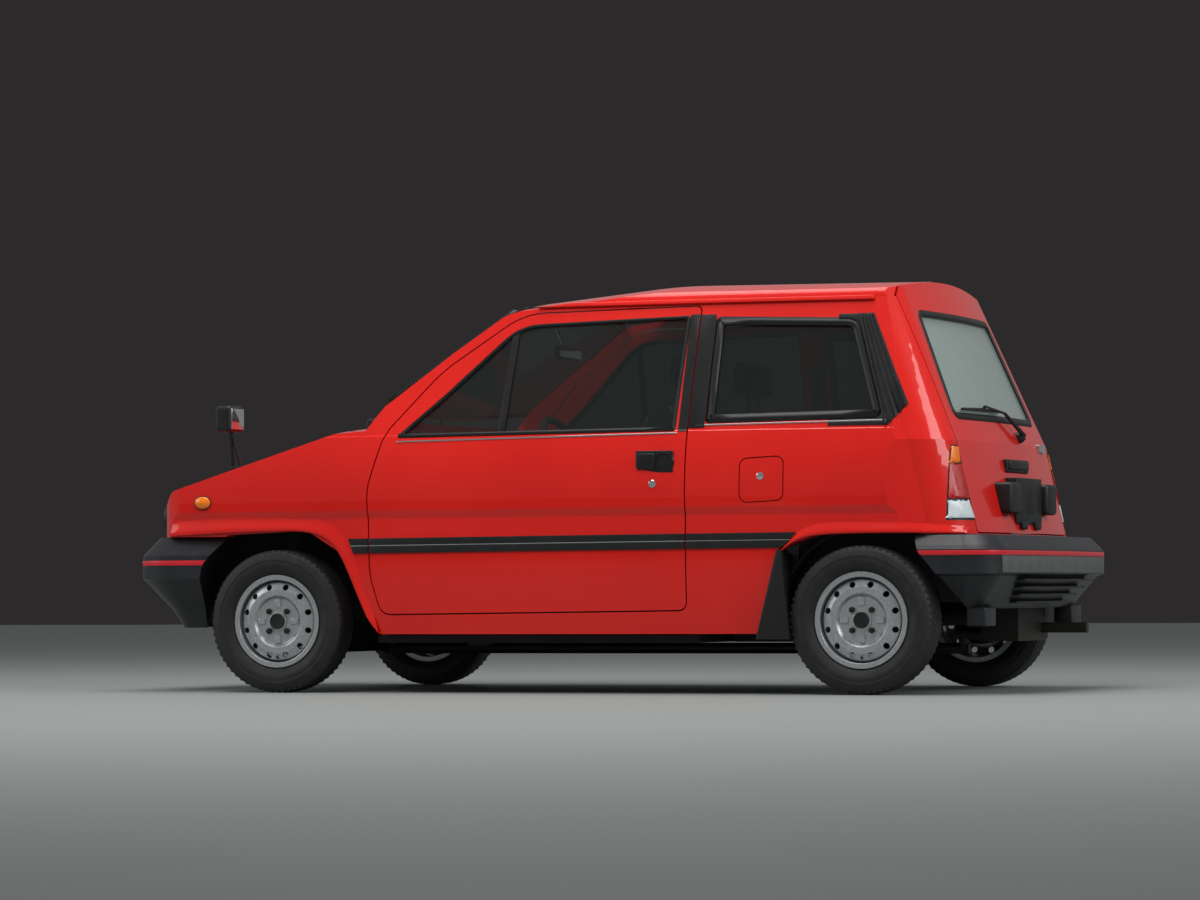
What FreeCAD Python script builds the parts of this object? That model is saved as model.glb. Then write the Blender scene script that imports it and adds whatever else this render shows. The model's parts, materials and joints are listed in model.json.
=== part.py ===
"""Two-box three-door hatchback, right-hand drive, about 3.4 m long.

Frame: +X forward, +Y to the car's left, +Z up, millimetres. The origin is on the ground, half way
along and across the car. Every driving dimension is a cell of the "Sizes" sheet.
"""
import FreeCAD
import Part
import math
import os
from FreeCAD import Vector as V

doc = FreeCAD.newDocument("hatchback")
sheet = doc.addObject("Spreadsheet::Sheet", "Sizes")

SIZES = {
    # overall
    "wheel_base": 2220, "front_overhang": 645, "rear_overhang": 515,
    "overall_width": 1570, "overall_height": 1470, "trim_stand_out": 6,
    # body surface
    "belt_height": 920, "crease_height": 640, "crease_step": 9, "sill_height": 211,
    "bow_radius": 14000, "roof_crown_radius": 3120, "hood_crown_radius": 6000,
    "tumblehome": 164, "roof_edge_height": 1386, "rear_corner_radius": 140,
    "door_wall": 70, "pillar_wall": 42, "roof_wall": 28, "hood_wall": 26,
    "tailgate_wall": 50, "nose_wall": 45, "panel_gap": 5, "glass_thickness": 5,
    "glass_set_in": 10, "hood_half_width": 596, "tailgate_half_width": 562,
    # floor
    "floor_bottom": 180, "floor_thickness": 26, "rear_floor_bottom": 330, "heel_board_back": 1605,
    "tunnel_width": 170, "tunnel_height": 120, "wheel_house_width": 590, "firewall_back": 395,
    "firewall_thickness": 22,
    # running gear
    "track_width": 1370, "tyre_radius": 258, "tyre_width": 145, "tread_width": 118,
    "bead_radius": 154, "flange_radius": 168, "rim_width": 112, "disc_seat_out": 32,
    "wheel_disc_thickness": 7, "centre_bore_radius": 28, "stud_circle_radius": 50,
    "running_gap": 0.3, "kingpin_foot_in": 65, "kingpin_foot_height": 165,
    "kingpin_top_in": 165, "kingpin_top_height": 770, "strut_radius": 20,
    "brake_disc_radius": 108, "brake_drum_radius": 100,
    # heavy and hidden blocks
    "engine_length": 360, "engine_width": 780, "engine_height": 430, "engine_bottom": 245,
    # cabin
    "seat_centre_y": 335, "seat_width": 470, "seat_cushion_top": 545, "seat_back_top": 1035,
    "steering_wheel_radius": 188, "steering_wheel_y": -335, "steering_wheel_back": 727,
    "steering_wheel_height": 862, "column_rake": 32,
    "dash_top": 930, "dash_back": 610,
}
for row, (alias, number) in enumerate(SIZES.items(), 1):
    sheet.set("A%d" % row, alias)
    sheet.set("B%d" % row, str(number))
    sheet.setAlias("B%d" % row, alias)
doc.recompute()


def size(alias):
    """Number that the sheet holds under this alias."""
    return float(sheet.get(alias))


# ---------------------------------------------------------------------------------------------
# Places worked out from the sheet
# ---------------------------------------------------------------------------------------------
LENGTH = size("front_overhang") + size("wheel_base") + size("rear_overhang")
NOSE = LENGTH / 2
TAIL = -LENGTH / 2
XF = NOSE - size("front_overhang")          # front axle
XR = TAIL + size("rear_overhang")           # rear axle
WIDE = size("overall_width") / 2 - size("trim_stand_out")   # widest sheet metal
TOP = size("overall_height")
BELT = size("belt_height")
SILL = size("sill_height")
EDGE = size("roof_edge_height") - 1470 + TOP  # height of the roof gutter
GAP = size("panel_gap")
FAR = 4000.0                                # beyond the car in every direction
TRACK = size("track_width") / 2
HUB = size("tyre_radius")


def panel(label, shape, bodies=1, place=V(0, 0, 0)):
    """A finished piece made of the given number of solids, as one object of the document."""
    shape = shape.removeSplitter() if shape.isValid() else shape
    keep = sorted(shape.Solids, key=lambda s: -s.Volume)[:bodies]
    piece = doc.addObject("Part::Feature", label)
    piece.Shape = keep[0] if len(keep) == 1 else Part.makeCompound(keep)
    piece.Placement = FreeCAD.Placement(place, FreeCAD.Rotation())
    piece.Label = label
    return piece


def mirrored(shape):
    """The same shape on the car's other side."""
    return shape.mirror(V(0, 0, 0), V(0, 1, 0))


def outline(points, place):
    """Closed face through (u, w, radius) corners, each rounded by its radius.

    place(u, w) gives the corner's point in space.
    """
    n = len(points)
    edges, ends = [], []
    for i in range(n):
        u, w, r = points[i]
        here = V(u, w, 0)
        before = V(points[i - 1][0], points[i - 1][1], 0) - here
        after = V(points[(i + 1) % n][0], points[(i + 1) % n][1], 0) - here
        turn = before.getAngle(after)
        back = min(r / math.tan(turn / 2), 0.49 * before.Length, 0.49 * after.Length) if r else 0
        a = here + before.normalize() * back
        b = here + after.normalize() * back
        if back:
            r = back * math.tan(turn / 2)
            middle = (before + after).normalize()
            centre = here + middle * (r / math.sin(turn / 2))
            m = centre - middle * r
            ends.append((a, m, b))
        else:
            ends.append((here, None, here))
    for i in range(n):
        a, m, b = ends[i]
        if m is not None:
            edges.append(Part.Arc(place(a.x, a.y), place(m.x, m.y), place(b.x, b.y)).toShape())
        start, stop = b, ends[(i + 1) % n][0]
        if (stop - start).Length > 1e-6:
            edges.append(Part.makeLine(place(start.x, start.y), place(stop.x, stop.y)))
    return Part.Face(Part.Wire(edges))


def side_prism(points, low=-FAR, high=FAR, grow=0.0):
    """Outline drawn in side view (x, z, radius), standing across the car from y=low to y=high."""
    face = outline(points, lambda u, w: V(u, low, w))
    if grow:
        face = Part.Face(face.OuterWire.makeOffset2D(grow, 2, False, False))
    return face.extrude(V(0, high - low, 0))


def plan_prism(points, low, high):
    """Outline drawn from above (x, y, radius), standing from z=low to z=high."""
    return outline(points, lambda u, w: V(u, w, low)).extrude(V(0, 0, high - low))


def end_prism(points, low, high):
    """Outline drawn from behind (y, z, radius), lying from x=low to x=high."""
    return outline(points, lambda u, w: V(low, u, w)).extrude(V(high - low, 0, 0))


def block(x0, x1, y0, y1, z0, z1):
    """Plain box between two corners."""
    return Part.makeBox(x1 - x0, y1 - y0, z1 - z0, V(x0, y0, z0))


# ---------------------------------------------------------------------------------------------
# Body surface: bowed sides, crowned roof and hood, slanted screen, tail with round corners
# ---------------------------------------------------------------------------------------------
BOW_CENTRE = (XF + XR) / 2 - 35


def bow(x):
    """How much narrower than its widest place the body is at x."""
    r = size("bow_radius")
    return r - math.sqrt(r * r - (x - BOW_CENTRE) ** 2)


def side_at(z):
    """Half-width of the body at height z, at its widest place."""
    if z < BELT:
        return WIDE - 28 * ((z - 700) / 220) ** 2 * (1 if z > 700 else 0.15)
    return WIDE - 28 - size("tumblehome") * (z - BELT) / (EDGE - BELT)


def side_solid(low_wall, high_wall):
    """Solid between the two bowed body sides, each moved in by its wall."""
    step, crease = size("crease_step"), size("crease_height")
    lean = size("tumblehome")
    sections = []
    for x in (TAIL - 260, XR - 150, BOW_CENTRE, XF + 100, NOSE + 260):
        lo = WIDE - bow(x) - low_wall
        hi = WIDE - bow(x) - high_wall

        def p(y, z):
            return V(x, y, z)

        def q(point):
            return V(x, -point.y, point.z)
        foot, sill, bulge = p(lo - 35, 100), p(lo - 33, SILL), p(lo - 13, 400)
        under, over = p(lo - step, crease - 14), p(lo, crease + 14)
        hip, belt, belt_in = p(lo - 4, 800), p(lo - 28, BELT), p(hi - 33, BELT + 4)
        pillar = p(hi - 33 - 0.5 * lean + 5, (BELT + EDGE) / 2)
        gutter, crest = p(hi - 28 - lean, EDGE), p(hi - 70 - lean, EDGE + 38)
        shoulder, top = p(hi - 41 - lean, EDGE + 27), p(hi - 330 - lean, TOP + 30)
        left = [Part.makeLine(foot, sill), Part.Arc(sill, bulge, under).toShape(),
                Part.makeLine(under, over), Part.Arc(over, hip, belt).toShape(),
                Part.makeLine(belt, belt_in), Part.Arc(belt_in, pillar, gutter).toShape(),
                Part.Arc(gutter, shoulder, crest).toShape(), Part.makeLine(crest, top)]
        right = [Part.makeLine(q(top), q(crest)), Part.Arc(q(crest), q(shoulder), q(gutter)).toShape(),
                 Part.Arc(q(gutter), q(pillar), q(belt_in)).toShape(),
                 Part.makeLine(q(belt_in), q(belt)), Part.Arc(q(belt), q(hip), q(over)).toShape(),
                 Part.makeLine(q(over), q(under)), Part.Arc(q(under), q(bulge), q(sill)).toShape(),
                 Part.makeLine(q(sill), q(foot))]
        sections.append(Part.Wire(left + [Part.makeLine(top, q(top))] + right
                                  + [Part.makeLine(q(foot), foot)]))
    return Part.makeLoft(sections, True, False)


def crowned(points, radius, top):
    """Side-view outline turned about a long axis far below, so that its top is crowned across."""
    face = outline(points, lambda u, w: V(u, 0, w))
    axis = V(0, 0, top - radius)
    half = math.degrees(math.asin((WIDE + 60) / (radius - 900)))
    face.rotate(axis, V(1, 0, 0), -half)
    return face.revolve(axis, V(1, 0, 0), 2 * half)


def tail_loft(wall):
    """Everything ahead of the tail's surface, which leans forward and has round corners."""
    radius = size("rear_corner_radius") - wall
    stations = ((100, TAIL + 10, 715), (BELT - 40, TAIL + 195, 705), (TOP + 60, TAIL + 460, 560))
    wires = []
    for z, back, wide in stations:
        x = back + wall
        hw = min(wide, side_at(min(z, EDGE)) - bow(back)) - wall
        sag = 26
        a, b = V(x + sag, hw - radius, z), V(x + sag + radius, hw + 3, z)
        m = V(x + sag + radius * 0.29, hw - radius * 0.29, z)
        out = V(XR + 300, WIDE + 120, z)
        front = V(NOSE + 200, WIDE + 120, z)

        def other(q):
            return V(q.x, -q.y, q.z)
        wires.append(Part.Wire([
            Part.Arc(other(a), V(x, 0, z), a).toShape(), Part.Arc(a, m, b).toShape(),
            Part.makeLine(b, out), Part.makeLine(out, front),
            Part.makeLine(front, other(front)), Part.makeLine(other(front), other(out)),
            Part.makeLine(other(out), other(b)), Part.Arc(other(b), other(m), other(a)).toShape()]))
    return Part.makeLoft(wires, True, True)


SCREEN_SLOPE = 1.441        # run of the windscreen for each unit of rise
SCREEN_FOOT = XF - 304      # windscreen at SCREEN_LOW, at its outer edges
SCREEN_LOW = 972 - 920 + BELT
SCREEN_BULGE = 46


def screen_prism(wall):
    """Everything behind the windscreen's bowed, raked surface."""
    def at(z):
        return SCREEN_FOOT - SCREEN_SLOPE * (z - SCREEN_LOW) - wall * 1.75
    low, high = 500.0, TOP + 200.0
    x = at(low)
    arc = Part.Arc(V(x, -640, low), V(x + SCREEN_BULGE, 0, low), V(x, 640, low)).toShape()
    ends = [V(x, 640, low), V(x - 170, 1000, low), V(x - 6000, 1000, low),
            V(x - 6000, -1000, low), V(x - 170, -1000, low), V(x, -640, low)]
    lines = [Part.makeLine(ends[i], ends[i + 1]) for i in range(5)]
    face = Part.Face(Part.Wire([arc] + lines))
    return face.extrude(V(at(high) - at(low), 0, high - low))


def nose_prism(wall):
    """Plan of the nose: a shallow arc with round corners."""
    x = NOSE - 100 - wall

    def p(u, w):
        return V(u, w, 100)
    a, m, b = p(x - 22, 545 - wall), p(x - 62, 650 - wall), p(x - 190, 700 - wall)
    out = p(x - 700, WIDE + 60)
    back = p(TAIL - 300, WIDE + 60)

    def other(q):
        return V(q.x, -q.y, q.z)
    face = Part.Face(Part.Wire([
        Part.Arc(other(a), p(x, 0), a).toShape(), Part.Arc(a, m, b).toShape(),
        Part.makeLine(b, out), Part.makeLine(out, back), Part.makeLine(back, other(back)),
        Part.makeLine(other(back), other(out)), Part.makeLine(other(out), other(b)),
        Part.Arc(other(b), other(m), other(a)).toShape()]))
    return face.extrude(V(0, 0, TOP))


def envelope(low_wall=0.0, high_wall=0.0, top=0.0, hood=0.0, rear=0.0, screen=0.0, nose=0.0):
    """The body's outer shape, or a smaller one, each surface moved in by its own wall."""
    hood_line = [(TAIL - 200, 100, 0), (NOSE + 60, 100, 0), (NOSE - 95 - nose, 640, 60),
                 (NOSE - 190 - nose, 772 - hood, 60), (XF - 220, 975 - hood, 60),
                 (XF - 420, BELT + 70 - hood, 0), (TAIL - 200, BELT + 60 - hood, 0)]
    lower = crowned(hood_line, size("hood_crown_radius"), BELT)
    t = TOP - top
    roof_line = [(TAIL - 200, 400, 0), (XF + 200, 400, 0), (XF - 430, t - 330, 0),
                 (XF - 850, t - 52, 260), (XF - 1400, t + 1, 1500), (XR - 60, t - 9, 300),
                 (TAIL - 200, t - 70, 0)]
    upper = crowned(roof_line, size("roof_crown_radius") - top, t)
    upper = upper.common(screen_prism(screen))
    belt_cap = block(-FAR, FAR, -FAR, FAR, -FAR, BELT + 2)
    lower = lower.common(belt_cap.fuse(block(XF - 480, FAR, -FAR, FAR, 0, FAR)))
    shape = lower.fuse(upper)
    shape = shape.common(side_solid(low_wall, high_wall))
    shape = shape.common(tail_loft(rear))
    return shape.common(nose_prism(nose))


# ---------------------------------------------------------------------------------------------
# Outlines in side view (x, z, corner radius)
# ---------------------------------------------------------------------------------------------
DOOR_FRONT = XF - 373
DOOR_REAR = XR + 638
DOOR_TOP = EDGE - 22
DOOR = [(DOOR_FRONT - 46, BELT - 22, 6), (DOOR_FRONT + 4, BELT - 190, 220),
        (DOOR_FRONT - 2, 420, 220), (DOOR_FRONT - 42, SILL + 72, 45),
        (DOOR_REAR - 1, SILL + 84, 28), (DOOR_REAR - 6, DOOR_TOP, 18),
        (XF - 917, DOOR_TOP - 12, 260), (XF - 625, BELT + 230, 500), (XF - 441, BELT + 24, 24)]
DOOR_GLASS = [(DOOR_FRONT - 92, BELT - 8, 8), (XF - 648, BELT + 150, 500),
              (XF - 905, DOOR_TOP - 50, 200), (DOOR_REAR + 27, DOOR_TOP - 31, 16),
              (DOOR_REAR + 39, BELT - 1, 10)]
QUARTER_GLASS = [(DOOR_REAR - 66, BELT + 24, 16), (XR - 70, BELT + 34, 22),
                 (XR + 52, DOOR_TOP - 56, 60), (DOOR_REAR - 66, DOOR_TOP - 40, 20)]
FRONT_ARCH = [(XF + 440, SILL - 160, 0), (XF + 345, 256, 0), (XF + 305, 470, 60),
              (XF + 222, 572, 60), (XF - 120, 584, 90), (XF - 262, 500, 60),
              (XF - 412, SILL - 10, 0), (XF - 412, 0, 0)]
REAR_ARCH = [(XR + 262, 0, 0), (XR + 262, 190, 0), (XR + 318, 500, 50), (XR + 140, 560, 90),
             (XR - 200, 562, 0), (XR - 200, 554, 0), (TAIL - 100, 552, 0), (TAIL - 100, 0, 0)]
BUMPER_TOP = 566
COWL_FRONT = XF - 268                        # hood's rear edge
HOOD_FRONT = NOSE - 160                      # hood's front edge, on the nose's rounded top
SCREEN_TOP = EDGE - 6
ROOF_BACK = XR - 62                          # seam between roof and tailgate
TAILGATE_BOTTOM = 560
TAILGATE_HALF = size("tailgate_half_width")

outer = envelope()
inner = envelope(size("door_wall"), size("pillar_wall"), size("roof_wall"), size("hood_wall"),
                 size("tailgate_wall"), size("roof_wall"), size("nose_wall"))
shell = outer.cut(inner)
side_core = side_solid(size("door_wall"), size("pillar_wall"))
left_half = block(-FAR, FAR, 0, FAR, 0, FAR)
glass_in, glass_thick = size("glass_set_in"), size("glass_thickness")
glass_band = side_solid(glass_in, glass_in).cut(
    side_solid(glass_in + glass_thick, glass_in + glass_thick))


def below(z):
    """All space lower than z."""
    return block(-FAR, FAR, -FAR, FAR, -FAR, z)


def above(z):
    """All space higher than z."""
    return block(-FAR, FAR, -FAR, FAR, z, FAR)


def behind(x):
    """All space behind x."""
    return block(-FAR, x, -FAR, FAR, -FAR, FAR)


def ahead(x):
    """All space ahead of x."""
    return block(x, FAR, -FAR, FAR, -FAR, FAR)


# tailgate region, drawn from behind: narrow between the lamps, nearly full width above them
LAMP_TOP, LAMP_BOTTOM = 862, 600


def tailgate_region(grow, front):
    """Space between the rear corners, from behind the car up to x=front, grown by a gap."""
    low, high = TAILGATE_HALF + grow, side_at(EDGE) - 78 + grow
    shape = end_prism([(-low, TAILGATE_BOTTOM - grow, 12), (low, TAILGATE_BOTTOM - grow, 12),
                       (low, LAMP_TOP + 20, 200), (high, EDGE + 6, 60), (high, TOP + 60, 0),
                       (-high, TOP + 60, 0), (-high, EDGE + 6, 60), (-low, LAMP_TOP + 20, 200)],
                      TAIL - 200, front)
    return shape


# door, its glass and the quarter window
door_skin = outer.cut(side_core).common(left_half)
door = door_skin.common(side_prism(DOOR)).cut(side_prism(DOOR_GLASS))
door_glass = glass_band.common(left_half).common(side_prism(DOOR_GLASS))
quarter_glass = glass_band.common(left_half).common(side_prism(QUARTER_GLASS))
panel("left_door", door)
panel("right_door", mirrored(door))
panel("left_door_glass", door_glass)
panel("right_door_glass", mirrored(door_glass))
panel("quarter_windows", Part.makeCompound([quarter_glass, mirrored(quarter_glass)]), 2)

# body side: pillars, sill, quarter and the rear corner outside the tailgate
seam = [(XF - 316, BELT + 21, 0), (XF - 347, BELT - 10, 0), (DOOR_FRONT - 46 + GAP, BELT - 20, 0),
        (DOOR_FRONT - 60, BELT - 40, 0), (DOOR_FRONT - 60, SILL + 120, 0), (XF - 452, SILL + 40, 0),
        (XF - 452, 0, 0), (-FAR, 0, 0), (-FAR, TOP + 100, 0), (XF - 316, TOP + 100, 0)]
side_space = side_prism(seam)
side_front = outer.cut(side_core).common(ahead(ROOF_BACK - 30))
side_rear = shell.common(behind(ROOF_BACK - 30))
side = side_front.fuse(side_rear).common(left_half).common(side_space).common(below(EDGE))
side = side.cut(tailgate_region(GAP, XR + 120)).cut(below(SILL)).cut(side_prism(DOOR, grow=GAP))
side = side.cut(side_prism(QUARTER_GLASS)).cut(side_prism(REAR_ARCH))
lamp_box = block(-FAR, XR - 285, TAILGATE_HALF + GAP, FAR, LAMP_BOTTOM, LAMP_TOP)
lamp = shell.common(left_half).common(lamp_box)
side = side.cut(lamp_box)
filler = side_prism([(XR + 431, 818, 26), (XR + 277, 826, 26), (XR + 277, 676, 26),
                     (XR + 431, 668, 26)], 0, FAR)
lid_skin = outer.cut(side_solid(14, 14)).common(filler)
filler_pocket = outer.cut(side_solid(20, 20)).common(
    side_prism([(XR + 431, 818, 26), (XR + 277, 826, 26), (XR + 277, 676, 26),
                (XR + 431, 668, 26)], 0, FAR, grow=4))
panel("fuel_lid", lid_skin)
panel("tail_lamps", Part.makeCompound([lamp, mirrored(lamp)]), 2)

# roof, screen, cowl with firewall
roof = shell.common(above(EDGE)).common(ahead(ROOF_BACK + GAP))
panel("roof_panel", roof)
screen_wall = outer.cut(envelope(screen=glass_thick))
screen = screen_wall.common(side_core).common(above(BELT + 66)).common(below(EDGE))
screen = screen.common(behind(XF - 250)).common(ahead(XR))
panel("windscreen", screen)
cowl = outer.cut(envelope(hood=30, screen=30)).common(below(BELT + 66))
cowl = cowl.fuse(outer.cut(envelope(hood=30)).common(above(BELT + 50)).common(below(BELT + 120)))
cowl = cowl.common(side_core).common(behind(COWL_FRONT - GAP)).common(ahead(XF - 440))
cowl = cowl.common(above(BELT - 60)).cut(screen)
wall_x = XF - size("firewall_back")
floor_top = size("floor_bottom") + size("floor_thickness")
firewall = block(wall_x, wall_x + size("firewall_thickness"), -640, 640, floor_top, BELT - 5)
half_tunnel = size("tunnel_width") / 2
firewall = firewall.common(side_core).cut(block(
    -FAR, FAR, -half_tunnel, half_tunnel, 0, size("floor_bottom") + size("tunnel_height")))
trough = block(wall_x, COWL_FRONT - GAP, -640, 640, BELT - 20, BELT - 5)
trough = trough.fuse(block(COWL_FRONT - 30, COWL_FRONT - GAP, -640, 640, BELT - 20, BELT + 50))
trough = trough.common(side_core).common(outer)
panel("bulkhead", cowl.fuse(firewall).fuse(trough))

# hood, fenders and nose
hood_half = size("hood_half_width")
hood_zone = plan_prism([(COWL_FRONT, -hood_half, 20), (HOOD_FRONT - 30, -hood_half + 26, 30),
                        (HOOD_FRONT, -hood_half + 110, 200), (HOOD_FRONT, hood_half - 110, 200),
                        (HOOD_FRONT - 30, hood_half - 26, 30), (COWL_FRONT, hood_half, 20)],
                       640, TOP)
hood = outer.cut(envelope(hood=size("hood_wall"))).common(hood_zone).common(above(640))
panel("hood", hood)
hood_hole = plan_prism([(COWL_FRONT + GAP, -hood_half - GAP, 20),
                        (HOOD_FRONT - 30, -hood_half + 26 - GAP, 30),
                        (HOOD_FRONT + GAP, -hood_half + 108 - GAP, 200),
                        (HOOD_FRONT + GAP, hood_half - 108 + GAP, 200),
                        (HOOD_FRONT - 30, hood_half - 26 + GAP, 30),
                        (COWL_FRONT + GAP, hood_half + GAP, 20)], 620, TOP)
nose_zone = block(NOSE - 220, FAR, -640, 640, BUMPER_TOP, TOP)
front = shell.common(above(BUMPER_TOP)).common(nose_zone).cut(hood_hole)
lamp_y, lamp_z, lamp_r = 520, 636, 60
lamp_hole = Part.makeCylinder(lamp_r, 400, V(NOSE - 300, lamp_y, lamp_z), V(1, 0, 0))
front = front.cut(lamp_hole).cut(mirrored(lamp_hole))
head = outer.common(lamp_hole).common(ahead(NOSE - 175))
panel("nose_panel", front)
panel("headlamps", Part.makeCompound([head, mirrored(head)]), 2)
fender = shell.common(left_half).common(above(SILL)).cut(side_space).cut(hood_hole)
fender = fender.cut(side_prism(DOOR, grow=GAP)).cut(nose_zone).cut(side_prism(FRONT_ARCH))
fender = fender.cut(block(XF + 200, FAR, -FAR, FAR, -FAR, BUMPER_TOP)).cut(side_core.common(
    behind(XF - 250)))
panel("left_fender", fender)
panel("right_fender", mirrored(fender))

# tailgate and its glass
gate_zone = tailgate_region(0, ROOF_BACK)
gate = shell.common(gate_zone).common(behind(ROOF_BACK))
pane = end_prism([(-500, BELT + 34, 40), (500, BELT + 34, 40), (428, EDGE - 46, 50),
                  (-428, EDGE - 46, 50)], TAIL - 200, XR + 20)
gate_glass = envelope(rear=8).cut(envelope(rear=8 + glass_thick)).common(pane).common(gate_zone)
panel("tailgate", gate.cut(pane))
panel("tailgate_glass", gate_glass)


# ---------------------------------------------------------------------------------------------
# Bumpers: one band round the car, sloped above and below its face, kept at each end
# ---------------------------------------------------------------------------------------------
def band_plan(inset, z):
    """Plan of the bumpers' band, moved in by inset, at height z."""
    def p(u, w):
        return V(u, w, z)

    def other(q):
        return V(q.x, -q.y, q.z)
    i = inset
    f0, f1, f2 = p(NOSE - i, 0), p(NOSE - 38 - i, 590 - i * 0.5), p(NOSE - 74 - i * 0.9, 668 - i * 0.7)
    f3, r3 = p(NOSE - 190 - i * 0.5, 722 - i), p(TAIL + 150 + i * 0.5, 730 - i)
    r0, r1, r2 = p(TAIL + i, 0), p(TAIL + 26 + i, 640 - i * 0.5), p(TAIL + 56 + i * 0.9, 700 - i * 0.8)
    side_y = p(BOW_CENTRE, WIDE - 30 - i)
    return Part.Wire([
        Part.Arc(other(f1), f0, f1).toShape(), Part.Arc(f1, f2, f3).toShape(),
        Part.Arc(f3, side_y, r3).toShape(), Part.Arc(r3, r2, r1).toShape(),
        Part.Arc(r1, r0, other(r1)).toShape(), Part.Arc(other(r1), other(r2), other(r3)).toShape(),
        Part.Arc(other(r3), other(side_y), other(f3)).toShape(),
        Part.Arc(other(f3), other(f2), other(f1)).toShape()])


def band(stations):
    """Solid through the band's plans at (inset, z) stations."""
    return Part.makeLoft([band_plan(i, z) for i, z in stations], True, True)


core = band([(135, 100), (135, 800)])
front_band = band([(150, 206), (120, 262), (98, 300), (10, 404), (0, 412), (0, 498), (8, 508),
                   (58, BUMPER_TOP - 1)])
front_ends = side_prism([(FAR, 0, 0), (XF + 358, 0, 0), (XF + 350, 256, 0), (XF + 308, 460, 60),
                         (XF + 222, BUMPER_TOP, 0), (XF + 222, 700, 0), (FAR, 700, 0)])
front_bumper = front_band.cut(core).common(front_ends)
panel("front_bumper", front_bumper)
rear_band = band([(150, 268), (105, 300), (22, 408), (0, 416), (0, 500), (10, 514), (44, 550)])
rear_ends = side_prism([(-FAR, 0, 0), (XR - 345, 0, 0), (XR - 345, 300, 0), (XR - 268, 414, 0),
                        (XR - 205, 490, 0), (XR - 178, 551, 0), (XR - 178, 700, 0), (-FAR, 700, 0)])
rear_core = band([(112, 100), (112, 800)])
rear_bumper = rear_band.cut(rear_core).common(rear_ends)


# ---------------------------------------------------------------------------------------------
# Pieces made of primitives, with every size and place bound to the sheet
# ---------------------------------------------------------------------------------------------
FRONT_AXLE = "((Sizes.front_overhang + Sizes.wheel_base + Sizes.rear_overhang) / 2 - Sizes.front_overhang)"
REAR_AXLE = "(" + FRONT_AXLE + " - Sizes.wheel_base)"


def bind(obj, **cells):
    """Bind properties to expressions; place=(x, y, z) binds the position."""
    for name, text in cells.items():
        if name == "place":
            for letter, value in zip("xyz", text):
                obj.setExpression("Placement.Base." + letter, str(value))
        else:
            obj.setExpression(name, str(text))
    return obj


def cuboid(label, place, length, width, height):
    """Box with its lowest corner at place."""
    return bind(doc.addObject("Part::Box", label), place=place, Length=length, Width=width,
                Height=height)


def round_bar(label, place, radius, length, direction=(0, 0, 1)):
    """Cylinder that starts at place and runs along direction."""
    obj = doc.addObject("Part::Cylinder", label)
    obj.Placement.Rotation = FreeCAD.Rotation(V(0, 0, 1), V(*direction))
    return bind(obj, place=place, Radius=radius, Height=length)


def joined(label, pieces):
    """Several shapes fused as one object."""
    obj = doc.addObject("Part::MultiFuse", label)
    obj.Shapes = pieces
    obj.Label = label
    return obj


def minus(label, base, tool):
    """One object cut by another."""
    obj = doc.addObject("Part::Cut", label)
    obj.Base, obj.Tool = base, tool
    obj.Label = label
    return obj


# floor pan: front floor, heel board, raised rear floor and tunnel, notched at the rear wheels
HEEL = FRONT_AXLE + " - Sizes.heel_board_back"
floor_end = REAR_AXLE + " - 380"
front_start = FRONT_AXLE + " - Sizes.firewall_back + Sizes.firewall_thickness"
floor_raw = joined("floor_raw", [
    cuboid("front_floor", (HEEL, "-675", "Sizes.floor_bottom"),
           front_start + " - (" + HEEL + ")", "1350", "Sizes.floor_thickness"),
    cuboid("heel_board", (HEEL, "-675", "Sizes.floor_bottom"), "Sizes.floor_thickness", "1350",
           "Sizes.rear_floor_bottom - Sizes.floor_bottom + Sizes.floor_thickness"),
    cuboid("rear_floor", (floor_end, "-675", "Sizes.rear_floor_bottom"),
           HEEL + " - (" + floor_end + ")", "1350", "Sizes.floor_thickness"),
    cuboid("tunnel", (HEEL, "-Sizes.tunnel_width / 2", "Sizes.floor_bottom"),
           front_start + " - (" + HEEL + ")", "Sizes.tunnel_width", "Sizes.tunnel_height"),
    cuboid("jack_pad_left", ("260", "570", "Sizes.floor_bottom - 12"), "80", "60", "12"),
    cuboid("jack_pad_right", ("260", "-630", "Sizes.floor_bottom - 12"), "80", "60", "12")])
notches = joined("rear_notches", [
    cuboid("notch_left", (REAR_AXLE + " - 500", "Sizes.wheel_house_width", "0"), "840", "200", "900"),
    cuboid("notch_right", (REAR_AXLE + " - 500", "-Sizes.wheel_house_width - 200", "0"),
           "840", "200", "900")])
minus("floor_pan", floor_raw, notches)

# wheel houses: an arched liner with an inner wall over each rear wheel, an apron at each front
liners = []
for sign in (1, -1):
    inner_y, outer_y = size("wheel_house_width"), TRACK - 4
    arch = Part.makeCylinder(322, outer_y - inner_y, V(XR, inner_y, HUB), V(0, 1, 0)).cut(
        Part.makeCylinder(314, outer_y - inner_y, V(XR, inner_y + 8, HUB), V(0, 1, 0)))
    liner = arch.common(above(HUB + 60)).common(side_core).cut(rear_bumper)
    apron = block(XF - 372, XF + 420, 452, 460, 300, 640).cut(
        block(XF - 45, XF + 45, 440, 530, 600, 640))
    for piece in (liner, apron):
        liners.append(piece if sign == 1 else mirrored(piece))
panel("wheel_houses", Part.makeCompound(liners), 4)

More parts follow.
